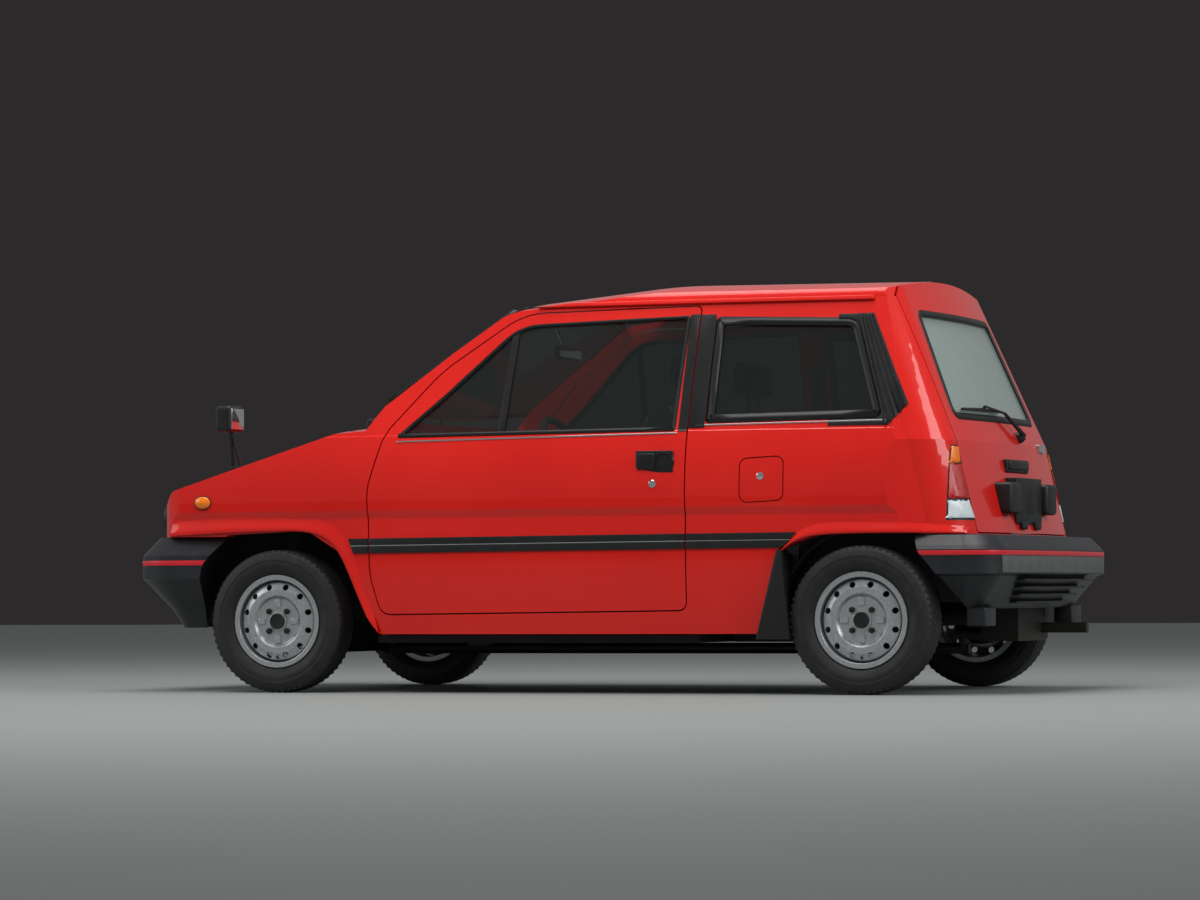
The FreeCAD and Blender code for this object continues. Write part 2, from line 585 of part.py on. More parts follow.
# engine and gearbox as one plain block, fuel tank, dashboard, steering column
cuboid("engine_block", (FRONT_AXLE + " + 10", "-Sizes.engine_width / 2", "Sizes.engine_bottom"),
       "Sizes.engine_length", "Sizes.engine_width", "Sizes.engine_height")
cuboid("fuel_tank", (HEEL + " - 420", "-420", "Sizes.floor_bottom"), "380", "840",
       "Sizes.rear_floor_bottom - Sizes.floor_bottom")
doc.recompute()
floor_shape = doc.getObject("floor_pan").Shape
panel("rear_bumper", rear_bumper.cut(floor_shape))
panel("left_side_panel", side.cut(filler_pocket).cut(floor_shape))
panel("right_side_panel", mirrored(side).cut(floor_shape))
firewall_face = XF - size("firewall_back")
dash_face = [(firewall_face, 560, 0), (XF - 500, 640, 30), (XF - size("dash_back"), 700, 30),
             (XF - size("dash_back") + 6, size("dash_top") - 40, 30),
             (XF - 520, size("dash_top"), 40), (firewall_face, size("dash_top") - 10, 0)]
panel("dashboard", side_prism(dash_face, -600, 600))
rake = math.radians(size("column_rake"))
rim_centre = V(XF - size("steering_wheel_back"), size("steering_wheel_y"),
               size("steering_wheel_height"))
COLUMN_AXIS = V(-math.cos(rake), 0, math.sin(rake))
column_start = rim_centre - COLUMN_AXIS * 34
column = Part.makeCylinder(26, 250, column_start - COLUMN_AXIS * 250, COLUMN_AXIS)
panel("steering_column", column.cut(doc.getObject("dashboard").Shape))
hoop = Part.makeTorus(size("steering_wheel_radius") - 14, 13, rim_centre, COLUMN_AXIS)
hub = Part.makeCylinder(40, 33.7, column_start + COLUMN_AXIS * size("running_gap"), COLUMN_AXIS)
wheel_parts = hoop.fuse(hub)
across = V(0, 1, 0)
downward = COLUMN_AXIS.cross(across)
for spoke_dir in (across, across * -1, downward * (1 if downward.z < 0 else -1)):
    spoke = Part.makeCylinder(9, size("steering_wheel_radius") - 16,
                              rim_centre - COLUMN_AXIS * 14, spoke_dir)
    wheel_parts = wheel_parts.fuse(spoke)
panel("steering_wheel", wheel_parts)

# seats: closed simple solids, on plinths that stand on the floor
seat_side = [(XF - 800, floor_top, 0), (XF - 790, 300, 20), (XF - 760, size("seat_cushion_top") - 30, 60),
             (XF - 900, size("seat_cushion_top"), 60), (XF - 1235, size("seat_cushion_top") - 35, 40),
             (XF - 1375, size("seat_back_top"), 50), (XF - 1480, size("seat_back_top") - 10, 50),
             (XF - 1370, 400, 50), (XF - 1300, floor_top, 0)]
for name, sign in (("left_seat", 1), ("right_seat", -1)):
    mid = sign * size("seat_centre_y")
    seat = side_prism(seat_side, mid - size("seat_width") / 2, mid + size("seat_width") / 2)
    head_rest = side_prism([(XF - 1412, size("seat_back_top") - 20, 20), (XF - 1424, 1215, 35),
                            (XF - 1500, 1205, 35), (XF - 1484, size("seat_back_top") - 30, 20)],
                           mid - 130, mid + 130)
    panel(name, seat.fuse(head_rest))
rear_top = size("rear_floor_bottom") + size("floor_thickness")
bench_side = [(XR + 700, rear_top, 0), (XR + 710, 520, 50), (XR + 300, 500, 30), (XR + 190, 900, 40),
              (XR + 90, 900, 40), (XR + 200, rear_top, 0)]
panel("rear_seat", side_prism(bench_side, -570, 570))


# ---------------------------------------------------------------------------------------------
# Suspension, knuckles and wheels
# ---------------------------------------------------------------------------------------------
gap = size("running_gap")
FOOT = V(XF, TRACK - size("kingpin_foot_in"), size("kingpin_foot_height"))
HEAD = V(XF, TRACK - size("kingpin_top_in"), size("kingpin_top_height"))
KINGPIN = (HEAD - FOOT).normalize()
SEAT_Y = TRACK + size("disc_seat_out")


def kingpin_at(z):
    """Point of the left kingpin axis at height z."""
    return FOOT + KINGPIN * ((z - FOOT.z) / KINGPIN.z)


hub_pin = kingpin_at(HUB)
knuckle = Part.makeCylinder(size("strut_radius"), 330, FOOT + KINGPIN * gap, KINGPIN)
knuckle = knuckle.fuse(Part.makeCylinder(24, SEAT_Y - hub_pin.y - gap, V(XF, hub_pin.y, HUB), V(0, 1, 0)))
knuckle = knuckle.fuse(Part.makeCylinder(56, 12, V(XF, SEAT_Y - 12 - gap, HUB), V(0, 1, 0)))
knuckle = knuckle.fuse(Part.makeCylinder(size("brake_disc_radius"), 11, V(XF, SEAT_Y - 60, HUB),
                                         V(0, 1, 0)))
panel("left_knuckle", knuckle)
panel("right_knuckle", mirrored(knuckle))

arm_y = 300
arm_end = Part.makeCylinder(18, 26, FOOT - KINGPIN * 26, KINGPIN)
arm = block(XF - 22, XF + 22, arm_y, FOOT.y, FOOT.z - 24, FOOT.z - 6)
arm = arm.fuse(arm_end)
strut_start = FOOT + KINGPIN * (330 + 2 * gap)
tower = Part.makeCylinder(38, (HEAD - strut_start).Length, strut_start, KINGPIN)
cross_beam = block(XF - 40, XF + 60, -arm_y - 10, arm_y + 10, FOOT.z - 25, size("engine_bottom"))
rails = block(XF - 373, XF + 460, 405, 451, 300, 380)
rail_link = block(XF - 30, XF + 30, arm_y, 451, 215, 320)
tower_arm = block(XF - 45, XF + 45, 440, HEAD.y, 600, 640)
frame_parts = cross_beam
for piece in (arm, tower, rails, rail_link, tower_arm, block(XF - 40, XF + 40, 405, 451, 380, 640)):
    frame_parts = frame_parts.fuse(piece).fuse(mirrored(piece))
eye = block(XF + 390, XF + 460, 405, 451, 240, 252).cut(
    Part.makeCylinder(14, 20, V(XF + 435, 428, 236), V(0, 0, 1)))
eye = eye.fuse(block(XF + 390, XF + 400, 405, 451, 240, 310))
frame_parts = frame_parts.cut(doc.getObject("engine_block").Shape).fuse([eye, mirrored(eye)])
panel("front_suspension", frame_parts)

drum = Part.makeCylinder(size("brake_drum_radius"), 50, V(XR, SEAT_Y - 50 - gap, HUB), V(0, 1, 0))
stub = Part.makeCylinder(22, 120, V(XR, SEAT_Y - 165, HUB), V(0, 1, 0))
trailing = block(XR, XR + 420, 540, 580, HUB - 20, HUB + 20)
spring = Part.makeCylinder(45, size("rear_floor_bottom") - HUB - 20, V(XR + 60, 530, HUB + 20))
spring = spring.fuse(block(XR + 20, XR + 100, 500, 575, HUB - 20, HUB + 24))
beam = Part.makeCylinder(28, 1100, V(XR, -550, HUB), V(0, 1, 0))
hanger = block(XR + 400, XR + 440, 540, 580, HUB - 30, size("rear_floor_bottom"))
for piece in (drum, stub, trailing, spring, hanger):
    beam = beam.fuse(piece).fuse(mirrored(piece))
panel("rear_suspension", beam)

pipe_z = 150
pipe = Part.makeCylinder(20, 2300, V(XF - 2350, -120, pipe_z), V(1, 0, 0))
riser = Part.makeCylinder(20, 120, V(XF - 75, -120, pipe_z), V(0, 0, 1))
muffler = block(XR - 330, XR - 190, -420, -60, 176, 296)
link = Part.makeCylinder(20, 60, V(XF - 2350 + 20, -120, pipe_z), V(0, 0, 1))
back_pipe = Part.makeCylinder(20, 140, V(XR - 230, -120, 200), V(1, 0, 0))
tail_pipe = Part.makeCylinder(19, 300, V(XR - 500, -370, 222), V(1, 0, 0))
strap = block(XR - 270, XR - 250, -250, -230, 290, size("rear_floor_bottom"))
panel("exhaust", pipe.fuse([riser, muffler, link, back_pipe, tail_pipe, strap]))


def turned(points, centre_y):
    """Ring about the wheel's axle, from its (width, radius, corner) section."""
    face = outline(points, lambda u, w: V(0, centre_y + u, w))
    return face.revolve(V(0, 0, 0), V(0, 1, 0), 360)


half_tyre, half_tread = size("tyre_width") / 2, size("tread_width") / 2
bead, flange, half_rim = size("bead_radius"), size("flange_radius"), size("rim_width") / 2
tyre_section = [(-half_rim + 5.3, bead + gap, 4), (-half_rim + 5.3, flange + 3, 6),
                (-half_tyre, flange + 38, 30), (-half_tread - 2, HUB - 6, 16), (0, HUB + 0.01, 900),
                (half_tread + 2, HUB - 6, 16), (half_tyre, flange + 38, 30),
                (half_rim - 5.3, flange + 3, 6), (half_rim - 5.3, bead + gap, 4)]
rim_section = [(-half_rim, flange, 2), (-half_rim + 5, flange, 2), (-half_rim + 5, bead, 0),
               (half_rim - 5, bead, 0), (half_rim - 5, flange, 2), (half_rim, flange, 2),
               (half_rim, bead - 5, 4), (half_rim - 30, bead - 6, 6), (half_rim - 40, bead - 12, 6),
               (-half_rim + 34, bead - 12, 6), (-half_rim + 8, bead - 6, 6), (-half_rim, bead - 6, 2)]
seat = size("disc_seat_out")
thick = size("wheel_disc_thickness")
disc_section = [(seat, size("centre_bore_radius"), 0), (seat, 84, 6), (seat + 14, 96, 10),
                (seat + 14, 112, 10), (seat + 2, 138, 6), (seat - 12, bead - 9, 0),
                (seat - 12 + thick, bead - 9, 0), (seat + 2 + thick, 140, 8),
                (seat + 14 + thick, 114, 10), (seat + 14 + thick, 94, 10), (seat + thick, 82, 6),
                (seat + thick, size("centre_bore_radius"), 0)]
rim = turned(rim_section, 0).fuse(turned(disc_section, 0))
for i in range(12):
    angle = math.radians(30 * i + 15)
    rim = rim.cut(Part.makeCylinder(11, 80, V(126 * math.cos(angle), seat - 20, 126 * math.sin(angle)),
                                    V(0, 1, 0)))
for i in range(4):
    angle = math.radians(90 * i + 45)
    r = size("stud_circle_radius")
    rim = rim.cut(Part.makeCylinder(6.5, 40, V(r * math.cos(angle), seat - 10, r * math.sin(angle)),
                                    V(0, 1, 0)))
tyre = turned(tyre_section, 0)
for name, x, sign in (("front_left", XF, 1), ("front_right", XF, -1),
                      ("rear_left", XR, 1), ("rear_right", XR, -1)):
    for kind, shape in (("rim", rim), ("tyre", tyre)):
        placed = shape.copy() if sign == 1 else mirrored(shape)
        panel(name + "_" + kind, placed, place=V(x, sign * TRACK, HUB))

# fender mirrors on two-legged stalks
mirror_x, mirror_y = XF + 223, size("hood_half_width") + 70
mirror_head = block(mirror_x - 32, mirror_x + 32, mirror_y - 60, mirror_y + 60, 948, 1043)
mirror = mirror_head.makeFillet(15, mirror_head.Edges)
for foot_x in (mirror_x - 44, mirror_x + 2):
    foot = V(foot_x, mirror_y - 38, 760)
    leg = V(mirror_x - 2, mirror_y, 975) - foot
    mirror = mirror.fuse(Part.makeCylinder(6.5, leg.Length, foot, leg))
mirror = mirror.cut(outer)
panel("fender_mirrors", Part.makeCompound([mirror, mirrored(mirror)]), 2)


# ---------------------------------------------------------------------------------------------
# Check every object, then write each sub-part
# ---------------------------------------------------------------------------------------------
NODES = [
    "floor_pan", "bulkhead", "left_side_panel", "right_side_panel", "roof_panel", "left_fender",
    "right_fender", "nose_panel", "headlamps", "windscreen", "quarter_windows", "front_bumper",
    "rear_bumper", "tail_lamps", "fender_mirrors", "wheel_houses", "engine_block", "fuel_tank",
    "exhaust", "front_suspension", "rear_suspension", "dashboard", "steering_column",
    "left_seat", "right_seat", "rear_seat", "steering_wheel", "hood", "fuel_lid",
    "left_door", "right_door", "left_door_glass", "right_door_glass", "tailgate",
    "tailgate_glass", "left_knuckle", "right_knuckle"]
NODES += [end + "_" + kind for end in ("front_left", "front_right", "rear_left", "rear_right")
          for kind in ("rim", "tyre")]
doc.recompute()
faults = [o.Name for o in doc.Objects if "Invalid" in o.State or "Error" in o.State]
for node in NODES:
    shape = doc.getObject(node).Shape
    if shape.isNull() or not shape.isValid() or not shape.Solids:
        faults.append(node)
if faults:
    raise RuntimeError("faulty objects: " + ", ".join(faults))
os.makedirs("parts", exist_ok=True)
for node in NODES:
    doc.getObject(node).Shape.exportStep("parts/%s.step" % node)
print("wrote", len(NODES), "parts")
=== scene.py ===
import json
import math

import bmesh
import bpy
from mathutils import Matrix, Vector
from mathutils.bvhtree import BVHTree


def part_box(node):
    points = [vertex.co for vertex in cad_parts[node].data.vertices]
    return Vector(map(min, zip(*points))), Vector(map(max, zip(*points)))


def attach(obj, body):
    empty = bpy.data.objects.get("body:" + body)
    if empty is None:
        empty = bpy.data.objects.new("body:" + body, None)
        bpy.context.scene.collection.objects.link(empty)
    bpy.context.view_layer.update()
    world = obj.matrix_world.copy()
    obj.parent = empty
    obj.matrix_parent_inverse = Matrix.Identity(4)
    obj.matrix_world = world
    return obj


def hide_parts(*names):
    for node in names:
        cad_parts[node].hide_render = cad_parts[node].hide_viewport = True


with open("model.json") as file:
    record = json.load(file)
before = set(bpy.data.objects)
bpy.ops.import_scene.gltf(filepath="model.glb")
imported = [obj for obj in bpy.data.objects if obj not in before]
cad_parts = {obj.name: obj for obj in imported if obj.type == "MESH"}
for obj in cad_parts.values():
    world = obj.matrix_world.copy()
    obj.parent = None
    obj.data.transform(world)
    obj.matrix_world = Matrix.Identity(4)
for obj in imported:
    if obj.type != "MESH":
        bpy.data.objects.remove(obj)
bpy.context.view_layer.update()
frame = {"nodes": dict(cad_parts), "record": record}

# ---------------------------------------------------------------------------------------------
# Places read from the frame, in metres: +X forward, +Y to the car's left, +Z up
# ---------------------------------------------------------------------------------------------
NODES = frame["nodes"]
MM = 0.001


def middle(node):
    """Centre of a node's box."""
    low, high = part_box(node)
    return (Vector(low) + Vector(high)) / 2


FRONT_HUB = middle("front_left_rim")
REAR_HUB = middle("rear_left_rim")
XF, XR, HUB_Z = FRONT_HUB.x, REAR_HUB.x, FRONT_HUB.z
TRACK_HALF = FRONT_HUB.y
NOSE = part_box("front_bumper")[1][0]
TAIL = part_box("rear_bumper")[0][0]


# ---------------------------------------------------------------------------------------------
# Materials
# ---------------------------------------------------------------------------------------------
def shade(text):
    """Linear colour of an sRGB hex value such as C8102E."""
    def channel(value):
        value /= 255
        return value / 12.92 if value <= 0.04045 else ((value + 0.055) / 1.055) ** 2.4
    return tuple(channel(int(text[i:i + 2], 16)) for i in (0, 2, 4)) + (1.0,)


def add(tree, kind, settings=None, **links):
    """Adds one node: settings are socket or property values, links are sockets to join."""
    node = tree.nodes.new(kind)
    for name, value in (settings or {}).items():
        if name in node.inputs:
            node.inputs[name].default_value = value
        else:
            setattr(node, name, value)
    for name, source in links.items():
        tree.links.new(source, node.inputs[name.replace("_", " ")])
    return node


def surface(name, colour, rough, **sockets):
    """Material with a Principled shader, its tree and the shader."""
    mat = bpy.data.materials.new(name)
    mat.use_nodes = True
    tree = mat.node_tree
    shader = tree.nodes["Principled BSDF"]
    shader.inputs["Base Color"].default_value = shade(colour)
    shader.inputs["Roughness"].default_value = rough
    for key, value in sockets.items():
        shader.inputs[key.replace("_", " ")].default_value = value
    return mat, tree, shader


def place(tree):
    """Object coordinates, in metres."""
    return tree.nodes.new("ShaderNodeTexCoord").outputs["Object"]


def grain(tree, shader, size, strength, depth=0.0004, detail=2.0):
    """Fine noise bump whose grains are about size metres apart."""
    noise = add(tree, "ShaderNodeTexNoise", {"Scale": 1 / size, "Detail": detail},
                Vector=place(tree))
    bump = add(tree, "ShaderNodeBump", {"Strength": strength, "Distance": depth},
               Height=noise.outputs["Fac"])
    tree.links.new(bump.outputs["Normal"], shader.inputs["Normal"])
    return noise


def vary(tree, shader, colour_a, colour_b, size, low=0.35, high=0.65, socket="Base Color"):
    """Slow change between two colours, for paint, dust and moulding flow."""
    noise = add(tree, "ShaderNodeTexNoise", {"Scale": 1 / size, "Detail": 3.0},
                Vector=place(tree))
    ramp = tree.nodes.new("ShaderNodeValToRGB")
    ramp.color_ramp.elements[0].position = low
    ramp.color_ramp.elements[1].position = high
    ramp.color_ramp.elements[0].color = shade(colour_a)
    ramp.color_ramp.elements[1].color = shade(colour_b)
    tree.links.new(noise.outputs["Fac"], ramp.inputs["Fac"])
    tree.links.new(ramp.outputs["Color"], shader.inputs[socket])


def body_paint():
    """Baked alkyd enamel, sprayed: solid red under a wet-looking skin with faint orange peel."""
    mat, tree, shader = surface("red_enamel_sprayed", "CC1A12", 0.35, Coat_Weight=0.7,
                                Coat_Roughness=0.03, Specular_IOR_Level=0.15)
    vary(tree, shader, "CA170F", "D41C13", 0.6)
    grain(tree, shader, 0.004, 0.02, 0.0002)
    return mat


def moulded(name, colour, lighter, rough, size=0.0012):
    """Injection-moulded plastic with a fine spark-eroded grain."""
    mat, tree, shader = surface(name, colour, rough)
    vary(tree, shader, colour, lighter, 0.05)
    grain(tree, shader, size, 0.25, 0.0003)
    return mat


def rubber():
    """Carbon-black tyre rubber: dull, slightly brown where it has been run."""
    mat, tree, shader = surface("tyre_rubber_cured", "1A1A1B", 0.62)
    vary(tree, shader, "161617", "222120", 0.03)
    grain(tree, shader, 0.002, 0.3, 0.0003)
    return mat


def wheel_paint():
    """Silver wheel enamel on pressed steel: metal flakes under a satin binder."""
    mat, tree, shader = surface("silver_wheel_enamel", "B4B6B8", 0.34, Metallic=0.75)
    vary(tree, shader, "A9ABAE", "C0C2C4", 0.004, 0.4, 0.6)
    grain(tree, shader, 0.0015, 0.08, 0.0002)
    return mat


def glass(name, colour, rough=0.0, clear=0.7):
    """Thin float or pressed glass: mostly see-through, with a dark tint in its skin."""
    mat, tree, shader = surface(name, colour, rough, Alpha=1 - clear, IOR=1.5,
                                Specular_IOR_Level=0.8)
    return mat


def ribbed_lens(name, colour, rib=0.006):
    """Moulded acrylic lamp lens: clear colour over fine vertical ribs."""
    mat, tree, shader = surface(name, colour, 0.16, IOR=1.49, Coat_Weight=0.4)
    wave = add(tree, "ShaderNodeTexWave", {"Scale": 0.31 / rib, "bands_direction": "Y"},
               Vector=place(tree))
    bump = add(tree, "ShaderNodeBump", {"Strength": 0.5, "Distance": 0.0012},
               Height=wave.outputs["Fac"])
    tree.links.new(bump.outputs["Normal"], shader.inputs["Normal"])
    vary(tree, shader, colour, colour, 0.1)
    return mat


def metal(name, colour, rough, size=0.003):
    """Bare or plated metal with light wear."""
    mat, tree, shader = surface(name, colour, rough, Metallic=1.0)
    vary(tree, shader, colour, colour, 0.02)
    grain(tree, shader, size, 0.12, 0.0003)
    return mat


def cloth(name, colour, lighter, thread=0.003):
    """Woven seat cloth: crossed waves as threads, drawn coarser than real to show."""
    mat, tree, shader = surface(name, colour, 0.9, Sheen_Weight=0.3)
    vary(tree, shader, colour, lighter, 0.01)
    coords = place(tree)
    heights = [add(tree, "ShaderNodeTexWave", {"Scale": 0.31 / thread, "bands_direction": axis},
                   Vector=coords).outputs["Fac"] for axis in ("X", "Z")]
    both = add(tree, "ShaderNodeMath", {"operation": "ADD"})
    tree.links.new(heights[0], both.inputs[0])
    tree.links.new(heights[1], both.inputs[1])
    bump = add(tree, "ShaderNodeBump", {"Strength": 0.5, "Distance": 0.0006},
               Height=both.outputs[0])
    tree.links.new(bump.outputs["Normal"], shader.inputs["Normal"])
    return mat


PAINT = body_paint()
BUMPER = moulded("bumper_polypropylene_moulded", "17181C", "1E1F24", 0.42)
TRIM = moulded("black_trim_moulded", "0E0E10", "151517", 0.5)
SEAL = moulded("window_seal_rubber", "0B0B0C", "101011", 0.45, 0.0008)
UNDER = moulded("underbody_sealer_sprayed", "0C0C0D", "141415", 0.85, 0.006)
CABIN = moulded("cabin_vinyl_grained", "17181A", "1D1E20", 0.6, 0.002)
RUBBER = rubber()
SILVER = wheel_paint()
PANE = glass("window_glass_float", "1A211F", clear=0.62)
# rear window glass in a pale colour, lighter than the dark side glass: a painted reflection of bright surroundings
# on the sloping pane
REAR_PANE_PAINTED_REFLECTION = glass("rear_window_glass_painted_reflection", "A9BAB4", clear=0.45)
LAMP_GLASS = glass("headlamp_glass_pressed", "DDE4E6", 0.02, clear=0.75)
AMBER = ribbed_lens("amber_lens_acrylic", "F07A10")
RED_LENS = ribbed_lens("red_lens_acrylic", "A80407")
CLEAR_LENS = ribbed_lens("clear_lens_acrylic", "C9D2D6")
CHROME = metal("chrome_plated", "DADCDD", 0.08)
CAST = metal("cast_iron_machined", "55565A", 0.5)
STEEL = metal("exhaust_steel_rolled", "4A4644", 0.55)
SEAT_CLOTH = cloth("seat_cloth_woven", "1C1D20", "2A2B2F")
GREY_BAND = moulded("grey_bumper_facing", "4C504E", "575B58", 0.5)
RED_STRIPE = surface("red_stripe_film", "C8202A", 0.35)[0]

FINISH = {
    "body_paint": PAINT, "black_trim": TRIM, "bumper_plastic": BUMPER, "underbody": UNDER,
    "window_glass": PANE, "lamp_glass": LAMP_GLASS, "lamp_lens": RED_LENS, "cast_metal": CAST,
    "bare_steel": STEEL, "cabin_plastic": CABIN, "seat_cloth": SEAT_CLOTH,
    "wheel_paint": SILVER, "tyre_rubber": RUBBER}
for entry in frame["record"]["subparts"]:
    obj = NODES[entry["node"]]
    obj.data.materials.clear()
    obj.data.materials.append(FINISH[entry["material_slot"]])
# the rear window takes the pale glass with its painted reflection
NODES["tailgate_glass"].data.materials[0] = REAR_PANE_PAINTED_REFLECTION


# ---------------------------------------------------------------------------------------------
# Mesh helpers
# ---------------------------------------------------------------------------------------------
def keep(name, bm, mat, body, bevel=0.0, thick=0.0, tidy=True, angle=38):
    """Turns a bmesh into a named piece that rides on a body."""
    if tidy:
        bmesh.ops.remove_doubles(bm, verts=bm.verts, dist=1e-6)
        bmesh.ops.recalc_face_normals(bm, faces=bm.faces)
    mesh = bpy.data.meshes.new(name)
    bm.to_mesh(mesh)
    bm.free()
    obj = bpy.data.objects.new(name, mesh)
    bpy.context.scene.collection.objects.link(obj)
    mesh.materials.append(mat)
    mesh.shade_smooth()
    mesh.set_sharp_from_angle(angle=math.radians(angle))
    if thick:
        wall = obj.modifiers.new("wall", "SOLIDIFY")
        wall.thickness = thick
        wall.offset = 1.0
    if bevel:
        edge = obj.modifiers.new("edge", "BEVEL")
        edge.width = bevel
        edge.segments = 2
        edge.limit_method = "ANGLE"
    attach(obj, body)
    return obj


def copy_of(node):
    """Merged copy of a CAD node's mesh."""
    bm = bmesh.new()
    bm.from_mesh(NODES[node].data)
    bmesh.ops.remove_doubles(bm, verts=bm.verts, dist=1e-5)
    return bm


def trim(bm, cuts):
    """Cuts away what lies on the outer side of each (point, outward direction) plane."""
    for point, out in cuts:
        geom = bm.verts[:] + bm.edges[:] + bm.faces[:]
        bmesh.ops.bisect_plane(bm, geom=geom, plane_co=point, plane_no=out, clear_outer=True)


def outward(bm, direction, least=0.45):
    """Drops every face that doesn't look along direction."""
    direction = Vector(direction).normalized()
    bm.normal_update()
    away = [f for f in bm.faces if f.normal.dot(direction) < least]
    bmesh.ops.delete(bm, geom=away, context="FACES")


def line_cut(x0, z0, x1, z1):
    """Side-view cut along a line: what lies left of the way from 0 to 1 is cut away."""
    along = Vector((x1 - x0, 0, z1 - z0)).normalized()
    return (x0, 0, z0), (-along.z, 0, along.x)


def strip(name, node, cuts, direction, mat, body, thick, bevel=0.0008, least=0.45, extra=None):
    """Thin applied strip that follows a panel's outer face inside some cuts."""
    bm = copy_of(node)
    trim(bm, cuts)
    outward(bm, direction, least)
    if extra:
        bmesh.ops.delete(bm, geom=[f for f in bm.faces if extra(f.calc_center_median())],
                         context="FACES")
    return keep(name, bm, mat, body, bevel, thick, tidy=False)


def ring(name, node, width, direction, mat, body, thick, inner=0.0, least=0.45, choose=None):
    """Band of the given width just inside the edge of a panel's outer face."""
    bm = copy_of(node)
    outward(bm, direction, least)
    if inner:
        bmesh.ops.inset_region(bm, faces=bm.faces[:], thickness=inner, use_even_offset=True,
                               use_boundary=True)
        bm.faces.ensure_lookup_table()
    rim = bmesh.ops.inset_region(bm, faces=bm.faces[:], thickness=width, use_even_offset=True,
                                 use_boundary=True)["faces"]
    wanted = set(rim)
    drop = [f for f in bm.faces if f not in wanted
            or (choose and not choose(f.calc_center_median()))]
    bmesh.ops.delete(bm, geom=drop, context="FACES")
    return keep(name, bm, mat, body, 0, thick, tidy=False)


def brick(low, high, radius=0.0, segments=3):
    """Box between two corners with rounded edges."""
    bm = bmesh.new()
    size = Vector(high) - Vector(low)
    centre = (Vector(high) + Vector(low)) / 2
    bmesh.ops.create_cube(bm, size=1.0, matrix=Matrix.Translation(centre)
                          @ Matrix.Diagonal((*size, 1)))
    if radius:
        bmesh.ops.bevel(bm, geom=bm.edges[:], offset=radius, segments=segments, affect="EDGES",
                        profile=0.5, material=-1)
    return bm


def rod(a, b, radius, radius_end=None, sides=20, bm=None):
    """Round bar from a to b."""
    bm = bm or bmesh.new()
    a, b = Vector(a), Vector(b)
    turn = (b - a).to_track_quat("Z", "Y").to_matrix().to_4x4()
    bmesh.ops.create_cone(bm, cap_ends=True, segments=sides, radius1=radius,
                          radius2=radius if radius_end is None else radius_end,
                          depth=(b - a).length, matrix=Matrix.Translation((a + b) / 2) @ turn)
    return bm


def lathe(profile, centre, steps=64, axis=(0, 1, 0), bm=None):
    """Turns a (width, radius) profile about an axle along Y through centre."""
    bm = bm or bmesh.new()
    centre = Vector(centre)
    verts = [bm.verts.new(centre + Vector((0, w, r))) for w, r in profile]
    edges = [bm.edges.new(pair) for pair in zip(verts, verts[1:])]
    bmesh.ops.spin(bm, geom=verts + edges, cent=centre, axis=axis, angle=2 * math.pi,
                   steps=steps, use_merge=True)
    return bm


def slide(bm, offset):
    """Moves a whole bmesh."""
    bmesh.ops.translate(bm, verts=bm.verts, vec=offset)
    return bm


def side_point(node, x, z, sign):
    """Point of a panel's outer face at x and z, and its normal."""
    bm = copy_of(node)
    tree = BVHTree.FromBMesh(bm)
    bm.free()
    spot, normal, _, _ = tree.ray_cast(Vector((x, sign * 2.0, z)), Vector((0, -sign, 0)))
    return spot, normal


